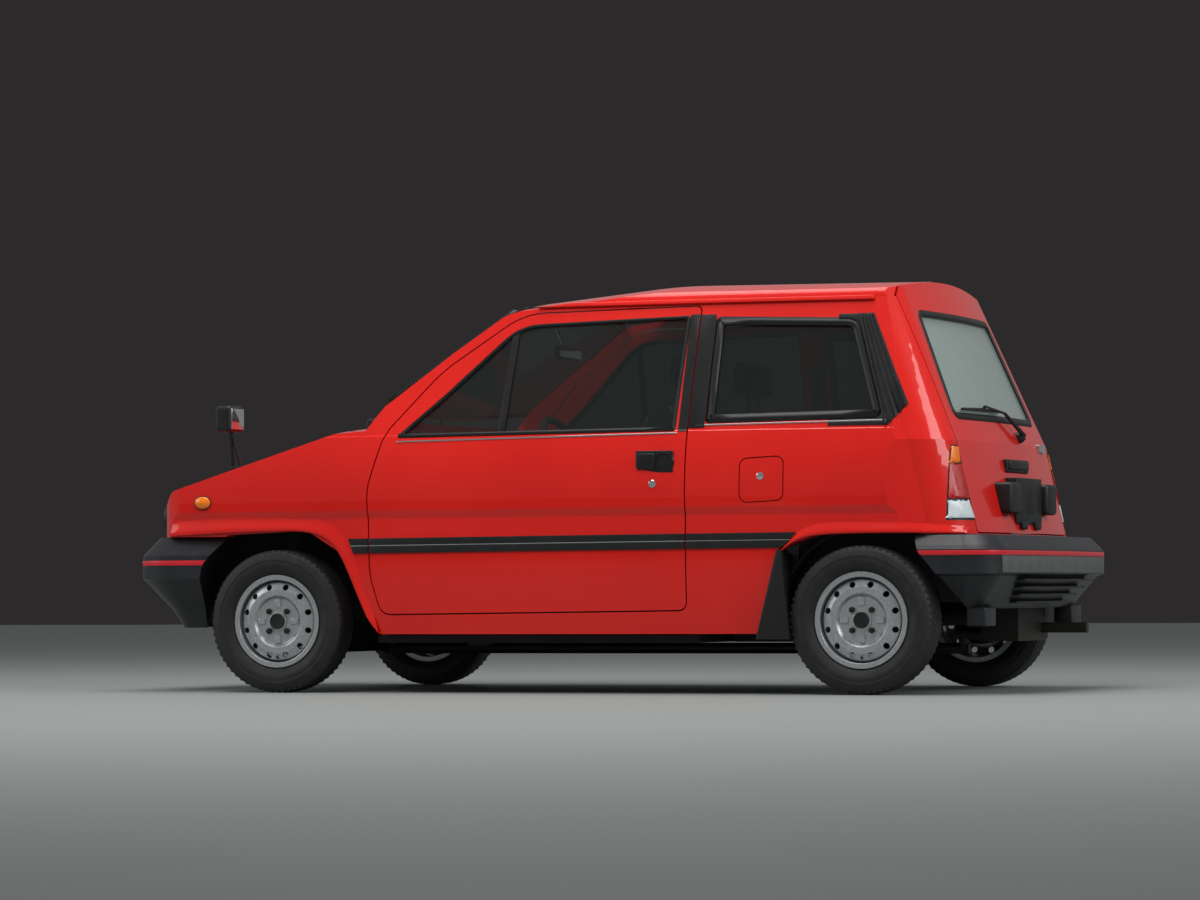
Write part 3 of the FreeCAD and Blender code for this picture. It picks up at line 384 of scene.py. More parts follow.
# ---------------------------------------------------------------------------------------------
# Sides: mouldings, window seals, louvres, handles, indicators, arch lips
# ---------------------------------------------------------------------------------------------
def dress_side(side, sign):
    """Trim of one side of the car: side is left or right, sign is +1 or -1."""
    out = (0, sign, 0)
    door, panel, fender = side + "_door", side + "_side_panel", side + "_fender"
    # two black ribs of the rubbing strip on fender, door and quarter, with a bright line between
    ends = {fender: [line_cut(0.757, 0.556, 0.735, 0.500)],
            panel: [((-0.50, 0, 0), (1, 0, 0)), line_cut(-0.900, 0.511, -0.950, 0.573)],
            door: []}
    for node, more in ends.items():
        body = door if node == door else "body"
        for part, low, high, mat, thick in (
                ("upper_rib", 0.534, 0.558, TRIM, 0.0055), ("line", 0.5305, 0.534, CHROME, 0.003),
                ("lower_rib", 0.505, 0.5305, TRIM, 0.0055)):
            tilt = Vector((0.0055, 0, 1)).normalized()
            cuts = [((0, 0, high), tilt), ((0, 0, low), -tilt)] + more
            strip("%s_%s" % (node, part), node, cuts, out, mat, body, thick)
    # window rubbers and black bands printed on the glass
    glass_pane = side + "_door_glass"
    ring(side + "_door_glass_seal", glass_pane, 0.014, out, SEAL, door, 0.009)
    bar = [line_cut(0.163, 1.290, 0.177, 0.905), line_cut(0.152, 0.905, 0.138, 1.290)]
    strip(side + "_door_division_bar", glass_pane, bar, out, SEAL, door, 0.008)
    def on_side(point):
        return point.y * sign > 0
    ring(side + "_quarter_seal", "quarter_windows", 0.030, out, SEAL, "body", 0.0095,
         choose=on_side)
    post = [((-0.5085, 0, 0), (1, 0, 0)), ((0, 0, 0.919), (0, 0, -1)), ((0, 0, 1.336), (0, 0, 1))]
    strip(side + "_door_post_cover", door, post, out, SEAL, door, 0.002)
    band = [((-0.50, 0, 0), (1, 0, 0)), ((-0.6035, 0, 0), (-1, 0, 0)),
            ((0, 0, 0.930), (0, 0, -1)), ((0, 0, 1.334), (0, 0, 1))]
    strip(side + "_pillar_cover", panel, band, out, SEAL, "body", 0.003)
    # louvred corner behind the quarter window: a base with five slats on it
    glass_rear = ((-1.238, 0.944), (-1.118, 1.322))
    rear_edge = ((-1.325, 1.005), (-1.176, 1.325))
    corner = [line_cut(*rear_edge[0], *rear_edge[1]), line_cut(-1.262, 0.930, -1.325, 1.005),
              ((0, 0, 0.930), (0, 0, -1)), ((0, 0, 1.325), (0, 0, 1)), ((-1.05, 0, 0), (1, 0, 0))]
    strip(side + "_louvre_base", panel, corner, out, TRIM, "body", 0.002)
    for i in range(5):
        a = Vector((glass_rear[0][0], glass_rear[0][1])).lerp(Vector(rear_edge[0]), (i + 0.3) / 5)
        b = Vector((glass_rear[1][0], glass_rear[1][1])).lerp(Vector(rear_edge[1]), (i + 0.3) / 5)
        slat = corner + [line_cut(b.x, b.y, a.x, a.y), line_cut(a.x - 0.009, a.y, b.x - 0.007, b.y)]
        strip("%s_louvre_%d" % (side, i), panel, slat, out, TRIM, "body", 0.007)
    # bright strip along the bottom of the windows: on the quarter window a bright insert, on the door a painted
    # highlight in place of the lit belt chamfer
    for node, body, x0, x1, z in ((door, door, -0.505, 0.566, 0.9065), (panel, "body", -1.255, -0.56, 0.9275)):
        tilt = Vector((0.0125, 0, 1)).normalized()
        zc = z + (0.0 if node == door else 0.004)
        cuts = [((x1, 0, 0), (1, 0, 0)), ((x0, 0, 0), (-1, 0, 0)),
                ((0, 0, zc + 0.0025), tilt), ((0, 0, zc - 0.0025), -tilt)]
        strip(node + "_bright_line", node, cuts, out, CHROME, body, 0.003, least=0.3)
    # gutter rail under the roof's edge, from the screen pillar to its end cap
    gutter_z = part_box(panel)[1][2]
    rail = [((0, 0, gutter_z - 0.014), (0, 0, -1)), ((0.16, 0, 0), (1, 0, 0)),
            ((-1.170, 0, 0), (-1, 0, 0))]
    strip(side + "_gutter", panel, rail, out, PAINT, "body", 0.013, bevel=0.003)
    # door handle: black recess with a grip flap in front and a finger well behind, and its lock
    spot, normal = side_point(door, -0.430, 0.812, sign)
    y = spot.y
    keep(side + "_handle_recess", brick((-0.500, min(y - 0.004, y + 0.004), 0.774),
         (-0.360, max(y - 0.004, y + 0.004), 0.852), 0.003), TRIM, door)
    flap_low, flap_high = sorted((y + sign * 0.001, y + sign * 0.011))
    keep(side + "_handle_flap", brick((-0.432, flap_low, 0.786), (-0.366, flap_high, 0.842), 0.004),
         SEAL, door)
    well = lathe([(-0.0065, 0.0), (-0.0065, 0.034), (0.0, 0.037), (0.0065, 0.034), (0.0065, 0.029),
                  (0.001, 0.027), (0.001, 0.0)], (-0.467, y, 0.812), 32)
    if sign < 0:
        bmesh.ops.scale(well, vec=(1, -1, 1), verts=well.verts,
                        space=Matrix.Translation((0, -y, 0)))
    keep(side + "_handle_well", well, SEAL, door)
    spot, normal = side_point(door, -0.424, 0.736, sign)
    keep(side + "_door_lock", lathe([(-0.004, 0.0), (-0.004, 0.0135), (0.003, 0.0135),
         (0.005, 0.011), (0.005, 0.0)], spot, 32), CHROME, door)
    # amber side indicator on a black base
    spot, normal = side_point(fender, 1.357, 0.690, sign)
    for part, scale, mat, deep in (("base", 1.0, TRIM, 0.008), ("lens", 0.86, AMBER, 0.016)):
        dome = lathe([(-0.006, 0.0), (-0.006, 0.036 * scale), (deep * 0.4, 0.036 * scale),
                      (deep * 0.8, 0.027 * scale), (deep, 0.0)], spot, 40)
        bmesh.ops.scale(dome, vec=(1, sign, 0.72), verts=dome.verts,
                        space=Matrix.Translation(-spot))
        keep("%s_indicator_%s" % (side, part), dome, mat, "body")


for side_name, side_sign in (("left", 1), ("right", -1)):
    dress_side(side_name, side_sign)
def along(line, t):
    """Point at t, from 0 to 1, along a side-view line."""
    steps = [math.dist(a, b) for a, b in zip(line, line[1:])]
    left = t * sum(steps)
    for (a, b), step in zip(zip(line, line[1:]), steps):
        if left <= step or (a, b) == (line[-2], line[-1]):
            k = min(1.0, left / step)
            return a[0] + (b[0] - a[0]) * k, a[1] + (b[1] - a[1]) * k
        left -= step


def rounded(line, rounds=2):
    """Side-view line with its corners cut down to a curve."""
    for _ in range(rounds):
        made = [line[0]]
        for a, b in zip(line, line[1:]):
            made += [tuple(a[i] * 0.75 + b[i] * 0.25 for i in (0, 1)),
                     tuple(a[i] * 0.25 + b[i] * 0.75 for i in (0, 1))]
        line = made + [line[-1]]
    return line


def flare(name, node, edge, outer_line, sign, proud=0.013):
    """Pressed flare round an arch: a band that swells out between the arch's edge and a line."""
    edge, outer_line = rounded(edge), rounded(outer_line)
    base = copy_of(node)
    tree = BVHTree.FromBMesh(base)
    base.free()
    bm = bmesh.new()
    bmesh.ops.create_grid(bm, x_segments=72, y_segments=8, size=0.5)
    swell = (-0.9, 0.55, 1.0, 1.0, 0.86, 0.55, 0.26, 0.07, -0.05)
    across = (0.0, 0.0, 0.04, 0.14, 0.32, 0.52, 0.70, 0.86, 1.0)
    last = {}
    for v in sorted(bm.verts, key=lambda v: v.co.x):
        t, row = v.co.x + 0.5, round((v.co.y + 0.5) * 8)
        a, b = along(edge, t), along(outer_line, t)
        x = a[0] + (b[0] - a[0]) * across[row]
        z = a[1] + (b[1] - a[1]) * across[row]
        hits = [tree.ray_cast(Vector((x + dx, sign * 2, z + dz)), Vector((0, -sign, 0)))[0]
                for dx, dz in ((0, 0), (0.0, 0.03), (0.0, 0.05))]
        found = [abs(h.y) for h in hits if h is not None and abs(h.y) > 0.55]
        y = found[0] if found else last.get(row, last.get("y", 0.74))
        last[row] = last["y"] = y
        v.co = Vector((x, sign * (y + proud * swell[row]), z))
    bmesh.ops.recalc_face_normals(bm, faces=bm.faces)
    middle_face = min(bm.faces, key=lambda f: abs(f.calc_center_median().z - 0.58))
    if middle_face.normal.y * sign < 0:
        bmesh.ops.reverse_faces(bm, faces=bm.faces)
    for _ in range(3):
        bmesh.ops.smooth_vert(bm, verts=[v for v in bm.verts if not v.is_boundary], factor=0.5,
                              use_axis_y=True)
    return keep(name, bm, PAINT, "body", tidy=False, angle=60)


for side_name, side_sign in (("left", 1), ("right", -1)):
    flare(side_name + "_front_flare", side_name + "_fender",
          [(1.500, 0.568), (1.259, 0.579), (1.019, 0.585), (0.895, 0.576), (0.822, 0.542),
           (0.775, 0.475), (0.730, 0.371), (0.678, 0.252), (0.640, 0.213)],
          [(1.492, 0.622), (1.268, 0.637), (0.980, 0.629), (0.855, 0.624), (0.806, 0.601),
           (0.757, 0.549), (0.719, 0.459), (0.690, 0.341), (0.664, 0.289)], side_sign)
    flare(side_name + "_rear_flare", side_name + "_side_panel",
          [(-0.880, 0.488), (-0.925, 0.524), (-0.985, 0.548), (-1.100, 0.556), (-1.350, 0.557),
           (-1.520, 0.551)],
          [(-0.915, 0.528), (-0.955, 0.572), (-1.020, 0.596), (-1.120, 0.601), (-1.350, 0.594),
           (-1.530, 0.582)], side_sign)
lock_spot, _ = side_point("fuel_lid", -0.818, 0.759, 1)
keep("fuel_lid_lock", lathe([(-0.003, 0.0), (-0.003, 0.013), (0.002, 0.013), (0.004, 0.010),
     (0.004, 0.0)], lock_spot, 32), CHROME, "fuel_lid")


# ---------------------------------------------------------------------------------------------
# Bumpers: red film line, grey facing, lower grille; nose: grille, lamps
# ---------------------------------------------------------------------------------------------
def round_strip(name, node, low, high, mat, thick, least_out, keep_x):
    """Strip round a bumper: the faces that look away from the car's middle."""
    bm = copy_of(node)
    trim(bm, [((0, 0, high), (0, 0, 1)), ((0, 0, low), (0, 0, -1))])
    bm.normal_update()
    away = []
    for f in bm.faces:
        spot = f.calc_center_median()
        outwards = Vector((1 if spot.x > 0 else -1, 0, 0)) if abs(spot.y) < 0.60 else \
            Vector((0, 1 if spot.y > 0 else -1, 0))
        reach = abs(f.normal.x) * (1 if f.normal.x * spot.x > 0 else -1)
        across = abs(f.normal.y) * (1 if f.normal.y * spot.y > 0 else -1)
        if max(reach, across) < least_out or abs(f.normal.z) > 0.5 or not keep_x(spot) \
                or f.normal.dot(outwards) < 0.05:
            away.append(f)
    bmesh.ops.delete(bm, geom=away, context="FACES")
    return keep(name, bm, mat, "body", 0.0006, thick, tidy=False)


def front_face(spot):
    return spot.x > 1.26 and (spot.x > 1.45 or abs(spot.y) > 0.66)


def rear_face(spot):
    return spot.x < -1.36 and (spot.x < -1.60 or abs(spot.y) > 0.64)


round_strip("front_bumper_line", "front_bumper", 0.462, 0.480, RED_STRIPE, 0.002, 0.5, front_face)
round_strip("rear_bumper_line", "rear_bumper", 0.480, 0.496, RED_STRIPE, 0.002, 0.5, rear_face)
round_strip("rear_bumper_facing", "rear_bumper", 0.420, 0.478, GREY_BAND, 0.0015, 0.5,
            lambda p: p.x < -1.60 and abs(p.y) < 0.66)
for row in range(4):
    z = 0.395 - 0.026 * row
    x = TAIL + 0.006 + (0.416 - z) * 0.82
    half = 0.44 - 0.035 * row
    shelf = brick((x - 0.012, -half, z - 0.004), (x + 0.03, half, z + 0.003), 0.0015)
    keep("rear_grille_shelf_%d" % row, shelf, TRIM, "body")
for side, sign in (("left", 1), ("right", -1)):
    flap = brick((-1.585, 0.49, 0.235), (-1.515, 0.62, 0.300), 0.006)
    bmesh.ops.scale(flap, vec=(1, sign, 1), verts=flap.verts)
    keep(side + "_rear_flap", flap, BUMPER, "body")


def meet(node, start, way):
    """First point and normal where a ray meets a node's surface."""
    bm = copy_of(node)
    tree = BVHTree.FromBMesh(bm)
    bm.free()
    spot, normal, _, _ = tree.ray_cast(Vector(start), Vector(way))
    return spot, normal


def wedge(low, high, cuts, radius=0.0):
    """Box cut by planes and closed again."""
    bm = brick(low, high)
    for point, out in cuts:
        geom = bm.verts[:] + bm.edges[:] + bm.faces[:]
        bmesh.ops.bisect_plane(bm, geom=geom, plane_co=point, plane_no=out, clear_outer=True)
        bmesh.ops.holes_fill(bm, edges=bm.edges[:], sides=0)
    if radius:
        bmesh.ops.bevel(bm, geom=bm.edges[:], offset=radius, segments=2, affect="EDGES",
                        profile=0.5, material=-1)
    return bm


def flip_side(bm, sign):
    """Mirrors a mesh made for the left side when sign is -1."""
    if sign < 0:
        bmesh.ops.scale(bm, vec=(1, -1, 1), verts=bm.verts)
        bmesh.ops.recalc_face_normals(bm, faces=bm.faces)
    return bm


# ---------------------------------------------------------------------------------------------
# Rear: lamps, glass rubber, wiper, latch handle, plate bracket with its lamps, badge plate
# ---------------------------------------------------------------------------------------------
def lens(name, node, low, high, sign, mat, inset=0.008, way=None, least=0.25, thick=0.004):
    """Lamp lens between two heights on a lamp housing's outer face."""
    bm = copy_of(node)
    trim(bm, [((0, 0, high), (0, 0, 1)), ((0, 0, low), (0, 0, -1))])
    outward(bm, way or (-0.707, sign * 0.707, 0), least)
    bmesh.ops.delete(bm, geom=[f for f in bm.faces if f.calc_center_median().y * sign < 0],
                     context="FACES")
    rim = bmesh.ops.inset_region(bm, faces=bm.faces[:], thickness=inset, use_even_offset=True,
                                 use_boundary=True)["faces"]
    bmesh.ops.delete(bm, geom=rim, context="FACES")
    return keep(name, bm, mat, "body", 0.001, thick, tidy=False)


NODES["tail_lamps"].data.materials[0] = TRIM
lamp_low, lamp_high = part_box("tail_lamps")[0].z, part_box("tail_lamps")[1].z
for side, sign in (("left", 1), ("right", -1)):
    lens(side + "_turn_lens", "tail_lamps", 0.795, lamp_high - 0.001, sign, AMBER, 0.007)
    lens(side + "_stop_lens", "tail_lamps", 0.672, 0.799, sign, RED_LENS, 0.0045)
    lens(side + "_reverse_lens", "tail_lamps", lamp_low + 0.001, 0.674, sign, CLEAR_LENS, 0.007)
ring("tailgate_glass_seal", "tailgate_glass", 0.024, (-0.9, 0, 0.35), SEAL, "tailgate", 0.009)


def rear_spot(y, z):
    """Point and normal of the tailgate's outer face."""
    return meet("tailgate", (-2.5, y, z), (1, 0, 0))


def rear_block(name, y0, y1, z0, z1, proud, mat, radius=0.004, sink=0.012):
    """Rounded block that stands on the tailgate."""
    x = min(rear_spot(y, z)[0].x for y in (y0, y1) for z in (z0, z1))
    far = max(rear_spot(y, z)[0].x for y in (y0, y1) for z in (z0, z1))
    return keep(name, brick((x - proud, y0, z0), (far + sink, y1, z1), radius), mat, "tailgate",
                angle=50)


rear_block("latch_handle_base", -0.135, 0.135, 0.776, 0.822, 0.008, TRIM, 0.004)
rear_block("latch_handle_grip", -0.120, 0.120, 0.786, 0.816, 0.017, SEAL, 0.006)
rear_block("plate_bracket", -0.160, 0.160, 0.592, 0.756, 0.006, TRIM, 0.003)
for i, y in enumerate((-0.036, -0.012, 0.012, 0.036)):
    rear_block("plate_bracket_rib_%d" % i, y - 0.004, y + 0.004, 0.628, 0.742, 0.014, SEAL, 0.002)
for side, sign in (("left", 1), ("right", -1)):
    y0, y1 = sorted((sign * 0.170, sign * 0.292))
    rear_block(side + "_plate_lamp_housing", y0, y1, 0.628, 0.738, 0.036, TRIM, 0.014)
    y0, y1 = sorted((sign * 0.190, sign * 0.272))
    rear_block(side + "_plate_lamp_face", y0, y1, 0.644, 0.722, 0.038, SEAL, 0.008)
    rear_block(side + "_plate_bracket_foot", *sorted((sign * 0.05, sign * 0.12)), 0.574, 0.600, 0.010, TRIM, 0.003)
rear_block("silver_badge", -0.480, -0.405, 0.856, 0.888, 0.003, CHROME, 0.0015, 0.006)
# wiper: pivot right of the middle under the glass, arm up to the left, blade along the glass
pivot, pivot_way = rear_spot(-0.150, 0.905)
wiper = lathe([(-0.004, 0.0), (-0.004, 0.021), (0.010, 0.021), (0.024, 0.015), (0.028, 0.0)],
              (0, 0, 0), 32)
turn = pivot_way.to_track_quat("Y", "Z").to_matrix().to_4x4()
bmesh.ops.transform(wiper, matrix=Matrix.Translation(pivot) @ turn, verts=wiper.verts)
keep("rear_wiper_pivot", wiper, TRIM, "tailgate")
head = pivot + pivot_way * 0.024
knee = meet("tailgate_glass", (-2.5, -0.010, 0.978), (1, 0, 0))[0] + pivot_way * 0.030
tip = meet("tailgate_glass", (-2.5, 0.175, 1.000), (1, 0, 0))[0] + pivot_way * 0.024
arm = rod(head, knee, 0.009, 0.006, 12)
rod(knee, tip, 0.005, 0.0035, 12, arm)
keep("rear_wiper_arm", arm, TRIM, "tailgate", tidy=False)
ends = [meet("tailgate_glass", (-2.5, y, z), (1, 0, 0))[0] + pivot_way * 0.012
        for y, z in ((0.395, 0.988), (0.175, 0.992), (-0.040, 0.992))]
blade = rod(ends[0], ends[1], 0.005, 0.007, 12)
rod(ends[1], ends[2], 0.007, 0.005, 12, blade)
rod(ends[1], tip, 0.006, 0.006, 12, blade)
keep("rear_wiper_blade", blade, SEAL, "tailgate", tidy=False)
nozzle_at = Vector(meet("roof_panel", (-1.184, -0.02, 2.5), (0, 0, -1))[0])
nozzle = brick(nozzle_at + Vector((-0.022, -0.012, -0.003)), nozzle_at + Vector((0.016, 0.012, 0.009)), 0.004)
keep("rear_washer_nozzle", nozzle, TRIM, "body")


# ---------------------------------------------------------------------------------------------
# Nose: grille slats between the lamps, lamp reflectors and lens rings, turn lamps in the bumper
# ---------------------------------------------------------------------------------------------
nose_low, nose_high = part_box("nose_panel")
for row in range(5):
    z = nose_low.z + 0.030 + 0.024 * row
    spot = meet("nose_panel", (2.5, 0.0, z), (-1, 0, 0))[0]
    if spot:
        slat = brick((spot.x - 0.030, -0.405, z - 0.004), (spot.x + 0.004, 0.405, z + 0.004), 0.0015)
        keep("grille_slat_%d" % row, slat, TRIM, "body")
lamp_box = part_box("headlamps")
for side, sign in (("left", 1), ("right", -1)):
    y = sign * 0.520
    z = (lamp_box[0].z + lamp_box[1].z) / 2
    front = lamp_box[1].x
    bowl = lathe([(-0.050, 0.0), (-0.048, 0.020), (-0.030, 0.046), (-0.006, 0.058)],
                 (0, 0, 0), 48)
    bmesh.ops.rotate(bowl, cent=(0, 0, 0), matrix=Matrix.Rotation(-math.pi / 2, 3, "Z"),
                     verts=bowl.verts)
    slide(bowl, (front - 0.012, y, z))
    keep(side + "_lamp_reflector", bowl, CHROME, "body")
    rim_ring = lathe([(-0.012, 0.058), (0.004, 0.059), (0.006, 0.063), (0.002, 0.066),
                      (-0.012, 0.066)], (0, 0, 0), 64)
    bmesh.ops.rotate(rim_ring, cent=(0, 0, 0), matrix=Matrix.Rotation(-math.pi / 2, 3, "Z"),
                     verts=rim_ring.verts)
    slide(rim_ring, (front, y, z))
    keep(side + "_lamp_bezel", rim_ring, TRIM, "body")
    spot, _ = meet("front_bumper", (2.5, sign * 0.550, 0.445), (-1, 0, 0))
    turn_lamp = brick((spot.x - 0.02, sign * 0.480 - 0.070, 0.424), (spot.x + 0.006, sign * 0.480 + 0.070, 0.458), 0.004)
    keep(side + "_front_turn_lens", turn_lamp, AMBER, "body")
spot, _ = meet("front_bumper", (2.5, 0, 0.45), (-1, 0, 0))
keep("front_plate", brick((spot.x - 0.004, -0.165, 0.345), (spot.x + 0.003, 0.165, 0.455), 0.002),
     GREY_BAND, "body")


# ---------------------------------------------------------------------------------------------
# Wheels: cap, nuts, stamped lugs, valve; tyre with grooves
# ---------------------------------------------------------------------------------------------
SEAT_OUT = 0.032
BEAD, FLANGE, HALF_TYRE = 0.154, 0.168, 0.0725


def dress_wheel(end, x, sign):
    """Details of one wheel, made for the left side and mirrored for the right."""
    hub = Vector((x, TRACK_HALF, HUB_Z))
    body = end + "_wheel"
    face = TRACK_HALF + SEAT_OUT + 0.007

    def put(name, bm, mat, bevel=0.0, angle=38):
        flip_side(bm, sign)
        return keep("%s_%s" % (end, name), bm, mat, body, bevel, angle=angle)
    centre = Vector((x, face, HUB_Z))
    put("cap", lathe([(-0.004, 0.0), (-0.004, 0.0285), (0.014, 0.0285), (0.017, 0.026),
                      (0.0155, 0.021), (0.0165, 0.0)], centre, 48), TRIM)
    put("cap_ring", lathe([(0.0, 0.0285), (0.0, 0.034), (0.006, 0.034), (0.008, 0.030),
                           (0.008, 0.0285)], centre, 48), SILVER)
    nuts = bmesh.new()
    lugs = bmesh.new()
    for i in range(4):
        angle = math.radians(90 * i + 45)
        at = centre + Vector((math.cos(angle), 0, math.sin(angle))) * 0.050
        rod(at + Vector((0, -0.002, 0)), at + Vector((0, 0.012, 0)), 0.0105, 0.0105, 6, nuts)
        rod(at + Vector((0, 0.012, 0)), at + Vector((0, 0.020, 0)), 0.008, 0.005, 16, nuts)
        lug = brick((-0.011, -0.004, 0.050), (0.011, 0.006, 0.080), 0.004, 2)
        bmesh.ops.rotate(lug, cent=(0, 0, 0), matrix=Matrix.Rotation(math.pi / 2 * i, 3, "Y"),
                         verts=lug.verts)
        slide(lug, centre)
        part = bpy.data.meshes.new("lug")
        lug.to_mesh(part)
        lug.free()
        lugs.from_mesh(part)
        bpy.data.meshes.remove(part)
    put("nuts", nuts, STEEL)
    put("stamped_lugs", lugs, SILVER)
    at = Vector((x, TRACK_HALF + 0.034, HUB_Z - 0.136))
    put("valve", rod(at, at + Vector((0, 0.022, 0.008)), 0.0045, 0.003, 12), SEAL)
    # tyre: bead, sidewall with a rim guard line, shoulder, tread with four grooves
    r, b = HUB_Z, FLANGE
    half = [(0.0505, BEAD + 0.002), (0.0507, b + 0.002), (0.057, b + 0.008), (0.0655, b + 0.018),
            (0.0695, b + 0.028), (0.0705, b + 0.030), (0.0722, b + 0.036), (0.0722, b + 0.043),
            (0.0705, b + 0.052), (0.0712, b + 0.053), (0.0712, b + 0.055), (0.069, b + 0.060),
            (0.066, b + 0.072), (0.0605, r - 0.007), (0.055, r - 0.0035), (0.0475, r - 0.0015),
            (0.040, r - 0.0008), (0.0395, r - 0.007), (0.0345, r - 0.007), (0.034, r - 0.0004),
            (0.0165, r), (0.016, r - 0.007), (0.0105, r - 0.007), (0.010, r)]
    profile = half + [(-w, q) for w, q in reversed(half)] + [half[0]]
    tyre = lathe(profile, hub, 96)
    sipes = put("tyre_grooved", tyre, RUBBER, angle=50)
    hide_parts(end + "_tyre")
    blocks = bmesh.new()
    for i in range(64):
        for row, (w0, w1) in enumerate(((0.046, 0.061), (-0.061, -0.046))):
            sipe = brick((-0.0045, w0, HUB_Z - 0.010), (0.0045, w1, HUB_Z - 0.0022))
            bmesh.ops.rotate(sipe, cent=(0, 0, 0),
                             matrix=Matrix.Rotation(math.tau * (i + 0.5 * row) / 64, 3, "Y"),
                             verts=sipe.verts)
            slide(sipe, hub)
            part = bpy.data.meshes.new("block")
            sipe.to_mesh(part)
            sipe.free()
            blocks.from_mesh(part)
            bpy.data.meshes.remove(part)
    put("tyre_shoulder_blocks", blocks, RUBBER)


for end_name, end_x, end_sign in (("front_left", XF, 1), ("front_right", XF, -1),
                                  ("rear_left", XR, 1), ("rear_right", XR, -1)):
    dress_wheel(end_name, end_x, end_sign)


# ---------------------------------------------------------------------------------------------
# Cabin: padded seats, head rest posts, door cards, belts, mirror, dashboard details
# ---------------------------------------------------------------------------------------------
def pad(name, node, cuts, mat, body="body", voxel=0.012, puff=0.010, seams=()):
    """Padded piece grown from a seat's own solid: remeshed, blown up a little and capped."""
    bm = copy_of(node)
    for point, out in cuts:
        geom = bm.verts[:] + bm.edges[:] + bm.faces[:]
        bmesh.ops.bisect_plane(bm, geom=geom, plane_co=point, plane_no=out, clear_outer=True)
        bmesh.ops.holes_fill(bm, edges=bm.edges[:], sides=0)
    bmesh.ops.recalc_face_normals(bm, faces=bm.faces)
    obj = keep(name, bm, mat, body, tidy=False)
    shrink = obj.modifiers.new("solid", "REMESH")
    shrink.mode = "VOXEL"
    shrink.voxel_size = voxel
    apply_all(obj)
    rest = [v.co.copy() for v in obj.data.vertices]
    for v in obj.data.vertices:
        v.co -= v.normal * puff
    blow(obj, rest, puff)
    for v in obj.data.vertices:
        for axis, at, deep in seams:
            distance = abs(v.co[axis] - at)
            if distance < 0.012:
                v.co -= v.normal * deep * (1 - distance / 0.012) ** 2
    for v, home in zip(obj.data.vertices, rest):
        move = v.co - home
        if move.length > puff * 1.5:
            v.co = home + move.normalized() * puff * 1.5
    smooth = obj.modifiers.new("skin", "SUBSURF")
    smooth.levels = smooth.render_levels = 1
    obj.data.shade_smooth()
    return obj


def apply_all(obj):
    """Makes the modifiers' result the mesh itself."""
    graph = bpy.context.evaluated_depsgraph_get()
    made = bpy.data.meshes.new_from_object(obj.evaluated_get(graph))
    mats = list(obj.data.materials)
    obj.modifiers.clear()
    obj.data = made
    if not made.materials:
        for m in mats:
            made.materials.append(m)


def blow(obj, rest, puff):
    """Cloth pressure pushes the skin out."""
    scene = bpy.context.scene
    cloth_mod = obj.modifiers.new("skin", "CLOTH")
    cloth_mod.settings.use_pressure = True
    cloth_mod.settings.uniform_pressure_force = 4
    cloth_mod.settings.effector_weights.gravity = 0
    cloth_mod.settings.quality = 4
    for step in range(1, 13):
        scene.frame_set(step)
    apply_all(obj)
    scene.frame_set(1)


def seat_set(side, sign):
    """Front seat: cushion, backrest, head rest on two posts."""
    node = side + "_seat"
    low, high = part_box(node)
    mid = (low.y + high.y) / 2
    seams = ((1, mid - 0.135, 0.010), (1, mid + 0.135, 0.010))
    split = (-0.215, 0, 0.50), (-0.75, 0, 0.66)
    cushion = pad(node + "_cushion", node, [((0, 0, 0.36), (0, 0, -1)), ((-0.200, 0, 0), (-1, 0, 0)),
                                            ((0, 0, 0.62), (0, 0, 1))], SEAT_CLOTH, seams=seams)
    back = pad(node + "_back", node, [((-0.200, 0, 0), (1, 0, 0)), ((0, 0, 1.035), (0, 0, 1)),
                                      ((0, 0, 0.33), (0, 0, -1))], SEAT_CLOTH, seams=seams)
    rest = pad(node + "_head_rest", node, [((0, 0, 1.075), (0, 0, -1))], SEAT_CLOTH, voxel=0.009)
    base = copy_of(node)
    trim(base, [((0, 0, 0.355), (0, 0, 1))])
    bmesh.ops.holes_fill(base, edges=base.edges[:], sides=0)
    rail = keep(node + "_base", base, CABIN, "body", tidy=False)
    for piece in (cushion, back, rest, rail):
        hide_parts(node)
    for dy in (-0.055, 0.055):
        post = bmesh.new()
        a, b = Vector((-0.400, mid + dy, 1.000)), Vector((-0.412, mid + dy, 1.090))
        rod(a, b, 0.007, 0.007, 16, post)
        for k in range(5):
            at = a.lerp(b, (k + 0.7) / 5.5)
            rod(at - (b - a).normalized() * 0.003, at + (b - a).normalized() * 0.003, 0.0105,
                0.0105, 16, post)
        keep("%s_post_%s" % (node, "a" if dy < 0 else "b"), post, TRIM, "body", tidy=False)


seat_set("left", 1)
seat_set("right", -1)
low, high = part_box("rear_seat")
rear_cushion = pad("rear_seat_cushion", "rear_seat", [((-0.875, 0, 0), (-1, 0, 0))], SEAT_CLOTH,
                   voxel=0.016, seams=((1, 0.0, 0.012),))
rear_back = pad("rear_seat_back", "rear_seat", [((-0.875, 0, 0), (1, 0, 0))], SEAT_CLOTH,
                voxel=0.016, seams=((1, 0.0, 0.012),))
for piece in (rear_cushion, rear_back):
    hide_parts("rear_seat")
